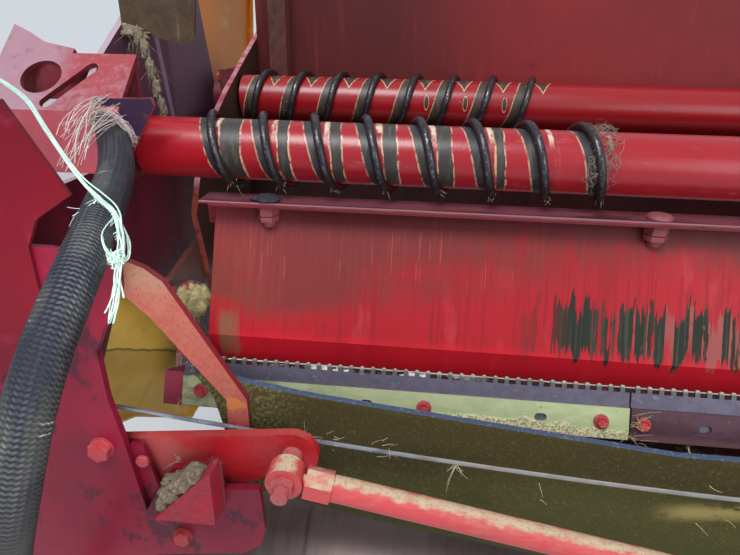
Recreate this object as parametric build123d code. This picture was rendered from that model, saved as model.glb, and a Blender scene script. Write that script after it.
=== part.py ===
"""Net wrap feed and knife unit of a round baler, for a bale chamber about 1.56 m wide.

Two spiral rolls spread and feed the net down behind a guide panel.  A toothed knife on two short
arms cuts it at the panel's lower edge, over a rubber apron and a smooth floor roll.  A pair of
parallel cranks joined by a rod works the trip across the unit.

Everything is set out from the front roll's axis: X along the rolls from the middle of the unit,
Y into the machine, Z up, in millimetres.  The finished pieces are then moved so that the origin
lies on the rear face of the cross beam, which bolts to the baler.
"""
import math
import os

from build123d import *

# Width of the unit and the plates at its ends
CHAMBER_HALF = 780.0        # middle to the inner face of a side plate
SIDE_T = 8.0                # side plate thickness
WALL_GAP = 57.0             # between a side plate and the outer wall beside it
WALL_T = 8.0                # outer wall thickness
WALL_INNER = CHAMBER_HALF + SIDE_T + WALL_GAP
RUN_GAP = 6.0               # free gap beside a moving piece
FIT = 0.05                  # radial running fit of a pin or shaft
SEAT = 0.3                  # gap at a seat beside a moving face
PLATE_T = 8.0               # thickness of the front plates and braces

# Rolls
ROLL_R = 35.0
ROLL_WALL = 5.0
SHAFT_R = 15.0
COLLAR_R = 22.0             # shaft collar between a roll and its bearing
FRONT_ROLL_HALF = CHAMBER_HALF + 23.0
REAR_ROLL_Y = 296.0
REAR_ROLL_Z = 26.0
REAR_ROLL_HALF = CHAMBER_HALF - RUN_GAP
FLOOR_ROLL_R = 95.0
FLOOR_ROLL_Y = -60.0
FLOOR_ROLL_Z = -595.0

# Spirals welded on the two feed rolls
COIL_ROD_R = 5.0
COIL_PITCH = 60.0
COIL_TURNS = 8
FRONT_COIL_START = CHAMBER_HALF - 44.0      # middle to the outer end of a spiral
FRONT_COIL_ANGLE = -90.0                    # where it starts, from the top
REAR_COIL_START = CHAMBER_HALF - 18.0
REAR_COIL_ANGLE = 180.0

# Flanged bearing
BEARING_SQUARE = 90.0
BEARING_PLATE_T = 12.0
BEARING_BOSS_R = 31.0
BEARING_DEPTH = 30.0

# Rear cross beam and the holes that bolt the unit to the baler
BEAM_FRONT = 404.0
BEAM_DEPTH = 96.0
BEAM_HALF_H = 50.0
BEAM_WALL = 6.0
MOUNT_X = CHAMBER_HALF - 80.0
MOUNT_Z = 25.0
MOUNT_HOLE_R = 9.0
MOUNT_Y = BEAM_FRONT + BEAM_DEPTH

# Back panel, its channels and the net chute under it
BACK_T = 4.0
BACK_TOP = 250.0
BACK_RETURN = 40.0
CHANNEL_W = 30.0
CHANNEL_OUT = CHAMBER_HALF - 30.0           # middle to a channel's outer side
CHUTE_LOW_Y = 190.0
CHUTE_LOW_Z = -236.0

# Guide panel and the rail that carries it, in bent sheet
TILT = 24.0                 # slope of the guide panel and of the knife, from upright
SHEET_T = 3.0
PANEL_HALF = CHAMBER_HALF - 58.0
FLANGE_FRONT = -40.0
FLANGE_TOP = -56.0
PANEL_BEND_Y = -6.0
PANEL_FACE = 168.0
PANEL_LIP = 37.0
RAIL_LEG = 52.0
RAIL_HALF = PANEL_HALF + 11.0
RAIL_BOLT_R = 8.0
RAIL_BOLT_Y = -24.0
RAIL_BOLTS = (-PANEL_HALF + 67.0, -209.0, 209.0, PANEL_HALF - 67.0)
RAIL_ARM_T = 6.0
RAIL_ARM_X = PANEL_HALF - 12.0              # middle to an arm behind the panel
RAIL_ARM_BACK = 104.0
RAIL_ARM_Z = (-130.0, -90.0)

# Knife: tube, toothed blade and clamp strips
KNIFE_Y = -118.0            # middle line of the tube's front face
KNIFE_Z = -262.2
KNIFE_TUBE = 40.0
KNIFE_TUBE_WALL = 3.0
KNIFE_HALF = CHAMBER_HALF - 13.0
BLADE_T = 2.5
BLADE_TIP = 42.0            # tips of the teeth above the middle line
BLADE_LOW = -16.0
TOOTH_H = 8.0
TOOTH_W = 5.2
TOOTH_PITCH = 12.7
STRIP_T = 3.0
STRIP_LOW = -18.0
STRIP_HIGH = 17.0
STRIP_OUTER = KNIFE_HALF - 25.0             # middle to the outer end of an outer strip
STRIP_JOINT = 230.0                         # middle to the joint between two strips
STRIP_GAP = 2.0
OUTER_SLOTS = (22.0, 88.0, 218.5, 284.5, 415.0, 481.0)      # from an outer strip's outer end
MIDDLE_SLOTS = (33.0, 150.0, 216.0)                         # from the middle of the unit
SLOT_L = 13.5
SLOT_W = 8.5

# Knife arms and the hangers with their pivots
PIVOT_Y = -21.0
PIVOT_Z = -187.0
PIVOT_R = 10.0
ARM_T = 8.0
ARM_TOP_R = 20.0
ARM_LOW_R = 22.0
ARM_SET_BACK = 6.0          # lower centre of an arm behind the tube
ARM_BOSS_R = 18.0
ARM_BOSS = 22.0
HANGER_BACK_Y = 120.0
HANGER_BACK_Z = -175.0
HANGER_FRONT_R = 22.0
HANGER_BACK_R = 34.0

# Apron, and the angle bar behind it
APRON_FRONT = -178.0
APRON_T = 8.0
APRON_STRIP_TOP = -180.0
APRON_BEND_Z = -330.0
APRON_BEND_R = 260.0
APRON_BEND = 28.0           # degrees of its lower curve
APRON_TOP_FLAT = (200.0, -253.6)            # half outline, as (x, z), from the middle outwards
APRON_TOP_END = (CHAMBER_HALF - 79.0, -200.0)
APRON_SIDE = (CHAMBER_HALF - 102.0, -228.0)
APRON_LOW_END = (CHAMBER_HALF - 120.0, -345.0)
APRON_LOW_FLAT = (250.0, -444.0)
APRON_BAR_T = 6.0
APRON_BAR_HALF = CHAMBER_HALF - 90.0
APRON_BAR_Z = (-328.0, -292.0)
APRON_SHELF_Z = (-309.0, -303.0)            # level leg, under the knife's tube
APRON_SHELF_BACK = -70.0

# Trip linkage: equal cranks and a rod
CRANK_X = -CHAMBER_HALF - 10.0
CRANK_Z = -285.0
CRANK_DX = 202.0            # crank pin from the pivot, across and up
CRANK_DZ = 25.0
CRANK_Y = (-217.0, -207.0)
CRANK_R = 26.0
CRANK_PIVOT_R = 11.0
CRANK_WEB = 138.0           # length of the crank's deep part
ROD_LENGTH = 900.0
ROD_DROP = 11.0             # degrees that the rod falls to the right
ROD_R = 13.0
ROD_Y = -246.0
NECK_R = 7.0
JAM_NUT = 28.0              # across flats
JAM_NUT_T = 13.0
JAM_NUT_START = 19.5        # from the eye's middle
EYE_R = 18.0
EYE_HALF = 11.0
STUD_R = 8.0
STUD_NUT = 20.0
STUD_NUT_T = 9.0
STUD_END = 8.0
OPEN_PIVOT_FIT = 1.0

# Front plates and walls, as corners.  IN is the distance inboard of the outer wall's inner face
POST_Y = (-238.0, -230.0)
POST = [(121, -50), (118, -76), (104, -100), (85, -139), (86, -192), (93, -236), (104, -331), (138, -271), (183, -262),
        (190, -292), (227, -288), (230, -343), (223, -366), (205, -380), (107, -396), (93, -420),
        (80, -690), (-55, -690), (-55, -40), (60, -40)]                     # (IN, z)
COVER_T = 4.0
COVER = [(93, 8), (53, 80), (-115, 80), (-115, -176), (-15, -176), (30, -134), (47, -90),
         (47, -38), (59, -14)]                                              # (IN, z)
STOP_BAR = [(93, -252), (108, -252), (121, -332), (103, -342)]              # (IN, z)
BRACE = [(0, -66), (94, -70), (113, -77), (130, -90), (203, -220), (205, APRON_BAR_Z[0]),
         (179, APRON_BAR_Z[0]), (181, -222), (112, -130), (86, -104), (0, -106)]    # (IN, z)
GUSSET = [(127, -313), (184, -252), (189, -252), (189, -313)]               # (IN, z)
GUSSET_DEPTH = 26.0
GUSSET_T = 4.0
SIDE_PLATE = [(97, -236), (61, -105), (84, -62), (163, 10), (228, 43), (336, 89), (MOUNT_Y, 155),
              (MOUNT_Y, BEAM_HALF_H), (BEAM_FRONT, BEAM_HALF_H), (BEAM_FRONT, -BEAM_HALF_H - 80),
              (300, -236)]                                                  # (y, z)
WALL = [(140, 185), (308, 170), (349, 38), (BEAM_FRONT, 20), (MOUNT_Y, 20), (MOUNT_Y, -60),
        (BEAM_FRONT, -60), (BEAM_FRONT, -300), (340, -420), (105, -420), (105, -320),
        (-46, -173), (-125, -260),
        (-125, -420), (20, -520), (20, -690), (POST_Y[1], -690), (POST_Y[1], -20)]  # (y, z)

# Roll bracket: bent sheet with a cut-out, and a gusset
ROLL_BRACKET = [(-66, -20), (-66, 47), (-6, 102)]                           # (y, z)
BRACKET_IN = (-115.0, 45.0)
BRACKET_T = 6.0
BRACKET_GUSSET = [(15, 60), (81, 62), (83, 54), (50, 2), (15, 2)]           # (IN, z)
CUTOUT_IN = -56.0
CUTOUT_UP = 46.0            # middle of the round hole up the slope
CUTOUT_R = 23.0
CUTOUT_SLOT = [(-39.0, 11.0), (-1.0, 60.0)]                                 # (IN, up the slope)
CUTOUT_SLOT_R = 7.0
BRACKET_WEB = [(-12, 91), (-6, 97), (-6, 52), (-12, 52)]                    # (y, z)
BRACKET_EAR = [(-115, 70), (-115, 124), (-92, 112), (-68, 97), (-30, 88), (-30, 70)]    # (IN, up the slope)

# Dust plate on the outer wall, above the front roll's end
DUST_PLATE_Y = 60.0
DUST_PLATE_T = 4.0
DUST_PLATE = [(0, 126), (22, 123), (76, 111), (85, 113), (89, 121), (94, 160), (96, 205),
              (0, 205)]                                                     # (IN, z)

# Side shield: pressed pan outside the outer wall
SHIELD = [(-140, -330), (-30, -385), (140, -520), (560, -520), (690, 220), (300, 220), (200, -60),
          (140, -100), (-140, -100)]                                        # (y, z)
SHIELD_GAP = 27.0           # outer wall's outer face to the skin's outer face
SHIELD_T = 3.0
SHIELD_LIP = 14.0
SHIELD_STANDOFFS = [(-100, -150), (110, -170), (298, 118), (450, -20)]      # (y, z)
STANDOFF_R = 12.0

# Cable and hose: control points of their lines
CABLE_R = 2.3
CABLE_Y = -199.0
CABLE_END = (15.0, -224.0)                                                  # (IN, z)
CABLE_SAG = [(560.0, -260.0), (0.0, -295.0)]                                # (x, z)
ANCHOR_R = 8.0
HOSE_R = 16.0
HOSE = [(46, -84, 30), (85, -147, 14), (117, -228, 3), (142, -320, -19), (141, -382, -66),
        (130, -412, -136), (101, -408, -214), (70, -386, -292), (40, -351, -368),
        (9, -307, -443), (-23, -258, -520)]                                 # (IN, y, z)
FITTING_REACH = 70.0
FITTING_R = 15.0
SOCKET_R = 20.0


def block(x, y, z):
    """Box between three pairs of limits."""
    size = [high - low for low, high in (x, y, z)]
    middle = [(low + high) / 2 for low, high in (x, y, z)]
    return Pos(*middle) * Box(*size)


def left_end(points):
    """Corners given as (distance inboard of the left outer wall, height), as (x, z)."""
    return [(inboard - WALL_INNER, z) for inboard, z in points]


def yz_plate(points, x0, x1):
    """Plate square to X from an outline of (y, z) corners."""
    outline = Polyline(*[(x0, y, z) for y, z in points], close=True)
    return extrude(make_face(outline), amount=x1 - x0, dir=(1, 0, 0))


def xz_plate(points, y0, y1):
    """Plate square to Y from an outline of (x, z) corners."""
    outline = Polyline(*[(x, y0, z) for x, z in points], close=True)
    return extrude(make_face(outline), amount=y1 - y0, dir=(0, 1, 0))


def rod(start, direction, radius, length):
    """Round bar from a point, along a direction."""
    return extrude(Plane(origin=start, z_dir=direction) * Circle(radius), amount=length)


def rod_x(y, z, radius, x0, x1):
    return rod((x0, y, z), (1, 0, 0), radius, x1 - x0)


def rod_y(x, z, radius, y0, y1):
    return rod((x, y0, z), (0, 1, 0), radius, y1 - y0)


def hexagon(start, direction, across_flats, length):
    """Hexagon nut from a point, along a direction."""
    face = RegularPolygon(across_flats / 2, 6, major_radius=False)
    return extrude(Plane(origin=start, z_dir=direction) * face, amount=length)


def link(plane, start, end, start_r, end_r, thickness):
    """Plate with round ends of two radii, drawn on a plane."""
    ends = [Pos(*start) * Circle(start_r), Pos(*end) * Circle(end_r)]
    face = make_hull([edge for disc in ends for edge in disc.edges()])
    return extrude(plane * face, amount=thickness)


def sheet_outline(line, thickness):
    """Corners of a bent sheet: a line of (y, z) points and the line one thickness to its right."""
    def normal(a, b):
        length = math.dist(a, b)
        return (b[1] - a[1]) / length, (a[0] - b[0]) / length

    sides = [normal(a, b) for a, b in zip(line, line[1:])]
    far = []
    for index, (y, z) in enumerate(line):
        before = sides[max(index - 1, 0)]
        after = sides[min(index, len(sides) - 1)]
        share = thickness / (1 + before[0] * after[0] + before[1] * after[1])
        far.append((y + (before[0] + after[0]) * share, z + (before[1] + after[1]) * share))
    return list(line) + far[::-1]


def mirrored(part):
    return mirror(part, about=Plane.YZ)


def save(name, part):
    """Write one piece, moved onto the mounting face."""
    moved = [Pos(0, -MOUNT_Y, 0) * solid for solid in part.solids()]
    export_step(moved[0] if len(moved) == 1 else Compound(children=moved), f"parts/{name}.step")


def save_pair(name, left):
    save(f"{name}_left", left)
    save(f"{name}_right", mirrored(left))


# Cross beam, back panel and chute

def cross_beam():
    outer = block((-WALL_INNER, WALL_INNER), (BEAM_FRONT, MOUNT_Y), (-BEAM_HALF_H, BEAM_HALF_H))
    inner = block((-WALL_INNER, WALL_INNER), (BEAM_FRONT + BEAM_WALL, MOUNT_Y - BEAM_WALL),
                  (-BEAM_HALF_H + BEAM_WALL, BEAM_HALF_H - BEAM_WALL))
    beam = outer - inner
    for x in (-MOUNT_X, MOUNT_X):
        for z in (-MOUNT_Z, MOUNT_Z):
            beam -= rod_y(x, z, MOUNT_HOLE_R, MOUNT_Y - 2 * BEAM_WALL, MOUNT_Y + BEAM_WALL)
    return beam


def back_panel():
    line = [(BEAM_FRONT - BACK_T, -BEAM_HALF_H), (BEAM_FRONT - BACK_T, BACK_TOP),
            (BEAM_FRONT + BACK_RETURN, BACK_TOP)]
    return yz_plate(sheet_outline(line, BACK_T), -CHAMBER_HALF, CHAMBER_HALF)


def net_chute():
    """Sheet that leads the net from under the back panel towards the guide panel."""
    line = [(BEAM_FRONT - BACK_T, -BEAM_HALF_H), (CHUTE_LOW_Y, CHUTE_LOW_Z)]
    return yz_plate(sheet_outline(line[::-1], BACK_T), -CHAMBER_HALF, CHAMBER_HALF)


def back_channels():
    """Upright channel near each end, open towards the panel."""
    front = BEAM_FRONT - BACK_T - CHANNEL_W
    channels = []
    for side in (-1, 1):
        x = sorted((side * CHANNEL_OUT, side * (CHANNEL_OUT - CHANNEL_W)))
        z = (BEAM_HALF_H, BACK_TOP - BACK_T)
        outer = block(x, (front, front + CHANNEL_W), z)
        hollow = block((x[0] + BACK_T, x[1] - BACK_T), (front + BACK_T, front + CHANNEL_W), z)
        channels.append(outer - hollow)
    return channels[0] + channels[1]


# Side plates, outer walls and bearings

def side_plate():
    plate = yz_plate(SIDE_PLATE, -CHAMBER_HALF - SIDE_T, -CHAMBER_HALF)
    return plate - rod_x(REAR_ROLL_Y, REAR_ROLL_Z, SHAFT_R + RUN_GAP,
                         -CHAMBER_HALF - 2 * SIDE_T, -CHAMBER_HALF + SIDE_T)


def outer_wall():
    """Big plate outside the side plate; the roll bracket sits on its front top edge."""
    seat = sheet_outline(ROLL_BRACKET, BRACKET_T)[len(ROLL_BRACKET):][::-1]
    return yz_plate(seat + WALL, -WALL_INNER - WALL_T, -WALL_INNER)


def bearing(y, z, seat_x, toward):
    """Square flanged bearing on a plate's face at seat_x, standing out towards +X or -X."""
    def span(near, far):
        return sorted((seat_x + toward * near, seat_x + toward * far))

    half = BEARING_SQUARE / 2
    plate = block(span(0, BEARING_PLATE_T), (y - half, y + half), (z - half, z + half))
    boss = rod_x(y, z, BEARING_BOSS_R, *span(0, BEARING_DEPTH))
    return plate + boss - rod_x(y, z, SHAFT_R + FIT, *span(-RUN_GAP, BEARING_DEPTH + RUN_GAP))


# Front plates: posts, cover, gusset and roll bracket

def post():
    """Upright plate with its foot, the crank's pivot and the stop bar behind it."""
    bar = xz_plate(left_end(STOP_BAR), POST_Y[1], POST_Y[1] + RUN_GAP)
    return plain_post() + crank_pivot(CRANK_X, CRANK_Z, POST_Y[1]) + bar


def plain_post():
    return xz_plate(left_end(POST), *POST_Y)


def crank_pivot(x, z, seat_y):
    """Welded pivot pin: collar, journal and end washer, from a plate's rear face."""
    collar_end = CRANK_Y[0] - RUN_GAP - SEAT
    washer = CRANK_Y[1] + SHEET_T + SEAT
    pin = rod_y(x, z, CRANK_PIVOT_R + SHEET_T, seat_y, collar_end)
    pin += rod_y(x, z, CRANK_PIVOT_R, seat_y, washer + SHEET_T)
    return pin + rod_y(x, z, CRANK_PIVOT_R + SHEET_T, washer, washer + SHEET_T)


def foot_gusset():
    """Small welded box on the foot: triangle in front, sloping top plate and a side."""
    front = POST_Y[0] - GUSSET_DEPTH
    low, high, side_top, side_low = left_end(GUSSET)
    length = math.dist(low, high)
    step = ((high[1] - low[1]) / length * GUSSET_T, (low[0] - high[0]) / length * GUSSET_T)
    slope = [low, high, (high[0] + step[0], high[1] + step[1]), (low[0] + step[0], low[1] + step[1])]
    side = (side_low[0] - GUSSET_T, side_top[0]), (front, POST_Y[0]), (side_low[1], side_top[1])
    box = xz_plate([low, high, side_top, side_low], front, front + GUSSET_T)
    return box + xz_plate(slope, front, POST_Y[0]) + block(*side)


def cover():
    return xz_plate(left_end(COVER), POST_Y[0] - COVER_T, POST_Y[0])


def roll_bracket():
    """Bent plate on the wall's top edge: a cut-out and an ear, webs under it, a gusset by the roll."""
    x0, x1 = (inboard - WALL_INNER for inboard in BRACKET_IN)
    sheet = yz_plate(sheet_outline(ROLL_BRACKET, BRACKET_T), x0, x1)
    low, high = ROLL_BRACKET[1:]
    slope = Plane(origin=(-WALL_INNER, *low), x_dir=(1, 0, 0),
                  z_dir=(0, low[1] - high[1], high[0] - low[0]))
    ends = [Pos(*end) * Circle(CUTOUT_SLOT_R) for end in CUTOUT_SLOT]
    slot = make_hull([edge for disc in ends for edge in disc.edges()])
    hole = Pos(CUTOUT_IN, CUTOUT_UP) * Circle(CUTOUT_R)
    for face in (slot, hole):
        sheet -= extrude(slope * face, amount=2 * BRACKET_T, both=True)
    gusset = xz_plate(left_end(BRACKET_GUSSET), ROLL_BRACKET[0][0] + BRACKET_T,
                      ROLL_BRACKET[0][0] + 2 * BRACKET_T)
    webs = yz_plate(BRACKET_WEB, x0, -WALL_INNER - WALL_T) + yz_plate(BRACKET_WEB, -WALL_INNER, x1)
    ear = make_face(Polyline(*BRACKET_EAR, close=True))
    return sheet + gusset + webs + extrude(slope * ear, amount=-BRACKET_T)


def dust_plate():
    return xz_plate(left_end(DUST_PLATE), DUST_PLATE_Y - DUST_PLATE_T, DUST_PLATE_Y)


# Rolls

def roll_tube(y, z, radius, half, shaft_end):
    """Closed tube with stub shafts."""
    tube = rod_x(y, z, radius, -half, half) - rod_x(y, z, radius - ROLL_WALL, -half + ROLL_WALL,
                                                    half - ROLL_WALL)
    for side in (-1, 1):
        inner, outer = sorted((side * (half - ROLL_WALL), side * shaft_end))
        tube += rod_x(y, z, SHAFT_R, inner, outer)
    return tube


def collared(tube, y, z, half, bearing_face):
    """The tube with a collar from each end to just short of the bearing."""
    for side in (-1, 1):
        limits = sorted((side * half, side * (bearing_face - SEAT)))
        tube += rod_x(y, z, COLLAR_R, *limits)
    return tube


def roll_spirals(y, z, start, angle, lefthand):
    """Round rod wound on each half, opposite hands, so that the net is spread outwards."""
    path = Helix(COIL_PITCH, COIL_PITCH * COIL_TURNS, ROLL_R + COIL_ROD_R, direction=(1, 0, 0),
                 lefthand=lefthand)
    section = Plane(origin=path @ 0, z_dir=path % 0) * Circle(COIL_ROD_R)
    left = Pos(-start, y, z) * (Rot(angle, 0, 0) * sweep(section, path=path, is_frenet=True))
    return Compound(children=[left.solids()[0], mirrored(left).solids()[0]])


# Guide rail and panel

def face_line(shift):
    """Flange edge, bend and downward direction of the panel's line, shifted backwards."""
    tilt = math.radians(TILT)
    bend_y = PANEL_BEND_Y + shift * (1 / math.cos(tilt) + math.tan(tilt))
    bend_z = FLANGE_TOP + shift
    return (FLANGE_FRONT, bend_z), (bend_y, bend_z), (-math.sin(tilt), -math.cos(tilt))


def guide_panel():
    edge, bend, down = face_line(0)
    low = (bend[0] + down[0] * PANEL_FACE, bend[1] + down[1] * PANEL_FACE)
    lip = (low[0] + PANEL_LIP * math.sin(math.radians(TILT) / 2), low[1] - PANEL_LIP)
    panel = yz_plate(sheet_outline([edge, bend, low, lip], SHEET_T), -PANEL_HALF, PANEL_HALF)
    return panel - rail_holes()


def guide_rail():
    """Angle nested over the panel's top bend, with an arm back to each side plate."""
    edge, bend, down = face_line(SHEET_T)
    low = (bend[0] + down[0] * RAIL_LEG, bend[1] + down[1] * RAIL_LEG)
    rail = yz_plate(sheet_outline([edge, bend, low], SHEET_T), -PANEL_HALF, PANEL_HALF)
    rail += yz_plate(sheet_outline([edge, bend], SHEET_T), -RAIL_HALF, RAIL_HALF)
    back = RAIL_ARM_BACK + RAIL_ARM_T
    arm = [bend, low, (back, RAIL_ARM_Z[0]), (back, RAIL_ARM_Z[1])]
    arms = yz_plate(arm, -RAIL_ARM_X - RAIL_ARM_T, -RAIL_ARM_X)
    arms += block((-CHAMBER_HALF, -RAIL_ARM_X), (RAIL_ARM_BACK, back), RAIL_ARM_Z)
    return rail + arms + mirrored(arms) - rail_holes()


def rail_holes():
    holes = [rod((x, RAIL_BOLT_Y, FLANGE_TOP + 3 * SHEET_T), (0, 0, -1), RAIL_BOLT_R, 6 * SHEET_T)
             for x in RAIL_BOLTS]
    return Compound(children=[hole.solids()[0] for hole in holes])


# Knife

def knife_plane():
    """Plane of the tube's front face: local X along the knife, Y up the face, Z outwards."""
    tilt = math.radians(TILT)
    return Plane(origin=(0, KNIFE_Y, KNIFE_Z), x_dir=(1, 0, 0), z_dir=(0, -math.cos(tilt), math.sin(tilt)))


def knife_tube_box(half):
    return knife_plane() * Pos(0, 0, -KNIFE_TUBE / 2) * Box(2 * half, KNIFE_TUBE, KNIFE_TUBE)


def knife_tube():
    """Square tube with closed ends."""
    bore = KNIFE_TUBE - 2 * KNIFE_TUBE_WALL
    inner = Pos(0, 0, -KNIFE_TUBE / 2) * Box(2 * (KNIFE_HALF - KNIFE_TUBE_WALL), bore, bore)
    return knife_tube_box(KNIFE_HALF) - knife_plane() * inner


def strip_limits(index):
    """Ends of the outer left, middle and outer right strip."""
    inner = STRIP_JOINT + STRIP_GAP / 2
    middle = STRIP_JOINT - STRIP_GAP / 2
    return ((-STRIP_OUTER, -inner), (-middle, middle), (inner, STRIP_OUTER))[index]


def blade_segment(x0, x1):
    """Toothed strip: round-topped fingers above a plain band."""
    root = BLADE_TIP - TOOTH_H
    band = Pos((x0 + x1) / 2, (BLADE_LOW + root) / 2) * Rectangle(x1 - x0, root - BLADE_LOW)
    count = int((x1 - x0) // TOOTH_PITCH)
    first = (x0 + x1) / 2 - TOOTH_PITCH * (count - 1) / 2
    radius = TOOTH_W / 2
    for index in range(count):
        x = first + index * TOOTH_PITCH
        band += Pos(x, root + (TOOTH_H - radius) / 2) * Rectangle(TOOTH_W, TOOTH_H - radius)
        band += Pos(x, BLADE_TIP - radius) * Circle(radius)
    return knife_plane() * extrude(band, amount=BLADE_T)


def clamp_strip(x0, x1):
    """Slotted strip that clamps the blade on the tube."""
    face = Pos((x0 + x1) / 2, (STRIP_LOW + STRIP_HIGH) / 2) * Rectangle(x1 - x0, STRIP_HIGH - STRIP_LOW)
    for place in [STRIP_OUTER - slot for slot in OUTER_SLOTS] + list(MIDDLE_SLOTS):
        for x in (-place, place):
            if x0 < x < x1:
                face -= Pos(x, 0) * SlotOverall(SLOT_L, SLOT_W)
    return knife_plane() * Pos(0, 0, BLADE_T) * extrude(face, amount=STRIP_T)


def arm_boss():
    """Inner and outer end of an arm's boss at the left."""
    outer = -KNIFE_HALF - (ARM_BOSS - ARM_T) / 2
    return outer, outer + ARM_BOSS


def knife_arm():
    """Arm plate from the pivot's boss to the back of the tube's end."""
    tilt = math.radians(TILT)
    reach = KNIFE_TUBE + ARM_SET_BACK
    centre = (KNIFE_Y + reach * math.cos(tilt), KNIFE_Z - reach * math.sin(tilt))
    plane = Plane(origin=(-KNIFE_HALF, 0, 0), x_dir=(0, 1, 0), z_dir=(1, 0, 0))
    plate = link(plane, (PIVOT_Y, PIVOT_Z), centre, ARM_TOP_R, ARM_LOW_R, ARM_T)
    outer, inner = arm_boss()
    boss = rod_x(PIVOT_Y, PIVOT_Z, ARM_BOSS_R, outer, inner)
    bore = rod_x(PIVOT_Y, PIVOT_Z, PIVOT_R + FIT, outer - ARM_BOSS, inner + ARM_BOSS)
    return plate - knife_tube_box(KNIFE_HALF + ARM_BOSS) + boss - bore


def knife_hanger():
    """Lug on the side plate's outer face with the knife's pivot pin."""
    face = -CHAMBER_HALF - SIDE_T
    plane = Plane(origin=(face - SIDE_T, 0, 0), x_dir=(0, 1, 0), z_dir=(1, 0, 0))
    lug = link(plane, (PIVOT_Y, PIVOT_Z), (HANGER_BACK_Y, HANGER_BACK_Z), HANGER_FRONT_R,
               HANGER_BACK_R, SIDE_T)
    outer, inner = arm_boss()
    washer = inner + SEAT
    pin = rod_x(PIVOT_Y, PIVOT_Z, PIVOT_R + SHEET_T, face, outer - SEAT)
    pin += rod_x(PIVOT_Y, PIVOT_Z, PIVOT_R, face, washer + SHEET_T)
    return lug + pin + rod_x(PIVOT_Y, PIVOT_Z, PIVOT_R + SHEET_T, washer, washer + SHEET_T)


# Apron, bar and braces

def apron_section(x0):
    """Section of the rubber: upright at the top, curved back below."""
    far = APRON_FRONT + APRON_BEND_R
    turn = math.radians(APRON_BEND)

    def arc(radius):
        return [(x0, far - radius * math.cos(a), APRON_BEND_Z - radius * math.sin(a))
                for a in (0.0, turn / 2, turn)]

    front = arc(APRON_BEND_R)
    rear = arc(APRON_BEND_R - APRON_T)
    front_top = (x0, APRON_FRONT, APRON_STRIP_TOP)
    rear_top = (x0, APRON_FRONT + APRON_T, APRON_STRIP_TOP)
    edges = [Line(front_top, front[0]), ThreePointArc(*front), Line(front[2], rear[2]),
             ThreePointArc(*rear[::-1]), Line(rear[0], rear_top), Line(rear_top, front_top)]
    return make_face(edges)


def apron():
    """Rubber sheet cut to a sagging outline."""
    strip = extrude(apron_section(-APRON_TOP_END[0]), amount=2 * APRON_TOP_END[0], dir=(1, 0, 0))

    def at(corner, side):
        return side * corner[0], 0, corner[1]

    top = [at(APRON_TOP_FLAT, side) for side in (-1, 1)]
    low = [at(APRON_LOW_FLAT, side) for side in (-1, 1)]
    outline = [Line(*top), Line(*low)]
    for index, side in enumerate((-1, 1)):
        outward = (side, 0, 0)
        outline.append(TangentArc(top[index], at(APRON_TOP_END, side), tangent=outward))
        outline.append(Line(at(APRON_TOP_END, side), at(APRON_SIDE, side)))
        outline.append(Line(at(APRON_SIDE, side), at(APRON_LOW_END, side)))
        outline.append(TangentArc(low[index], at(APRON_LOW_END, side), tangent=outward))
    return strip & extrude(make_face(outline), amount=2 * APRON_BEND_R, both=True)


def apron_bar():
    """Angle bar behind the apron: its level leg catches the chaff under the knife."""
    rear = APRON_FRONT + APRON_T
    x = (-APRON_BAR_HALF, APRON_BAR_HALF)
    upright = block(x, (rear, rear + APRON_BAR_T), APRON_BAR_Z)
    return upright + block(x, (rear, APRON_SHELF_BACK), APRON_SHELF_Z)


def brace():
    return xz_plate(left_end(BRACE), APRON_FRONT - PLATE_T, APRON_FRONT)


# Trip linkage

def rod_end():
    """Place of the far pivot and pin, from the near ones."""
    fall = math.radians(ROD_DROP)
    return ROD_LENGTH * math.cos(fall), -ROD_LENGTH * math.sin(fall)


def crank(x, z):
    """Flat crank with a bush at its pivot and a round end for the rod's stud."""
    plane = Plane(origin=(0, CRANK_Y[1], 0), x_dir=(1, 0, 0), z_dir=(0, -1, 0))
    pin = (x + CRANK_DX, z + CRANK_DZ)
    arm = link(plane, (x, z), pin, CRANK_R, CRANK_R, CRANK_Y[1] - CRANK_Y[0])
    web = xz_plate([(x, z - CRANK_R), (x + CRANK_WEB, z - CRANK_R), (pin[0], pin[1] - CRANK_R / 2),
                    (x + CRANK_R, z)], *CRANK_Y)
    bush = rod_y(x, z, CRANK_PIVOT_R + PLATE_T, CRANK_Y[0] - RUN_GAP, CRANK_Y[1] + SHEET_T)
    bore = rod_y(x, z, CRANK_PIVOT_R + FIT, CRANK_Y[0] - 2 * RUN_GAP, CRANK_Y[1] + 2 * SHEET_T)
    return arm + web + bush - bore


def crank_stud(x, z):
    """Stud in the crank's end: collar, journal and nut round the rod's eye."""
    x, z = x + CRANK_DX, z + CRANK_DZ
    back = ROD_Y + EYE_HALF + SEAT
    front = ROD_Y - EYE_HALF - SEAT
    stud = rod_y(x, z, STUD_R + SHEET_T, back, CRANK_Y[0])
    stud += rod_y(x, z, STUD_R, front - STUD_NUT_T - STUD_END, back)
    return stud + hexagon((x, front, z), (0, -1, 0), STUD_NUT, STUD_NUT_T)


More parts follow.
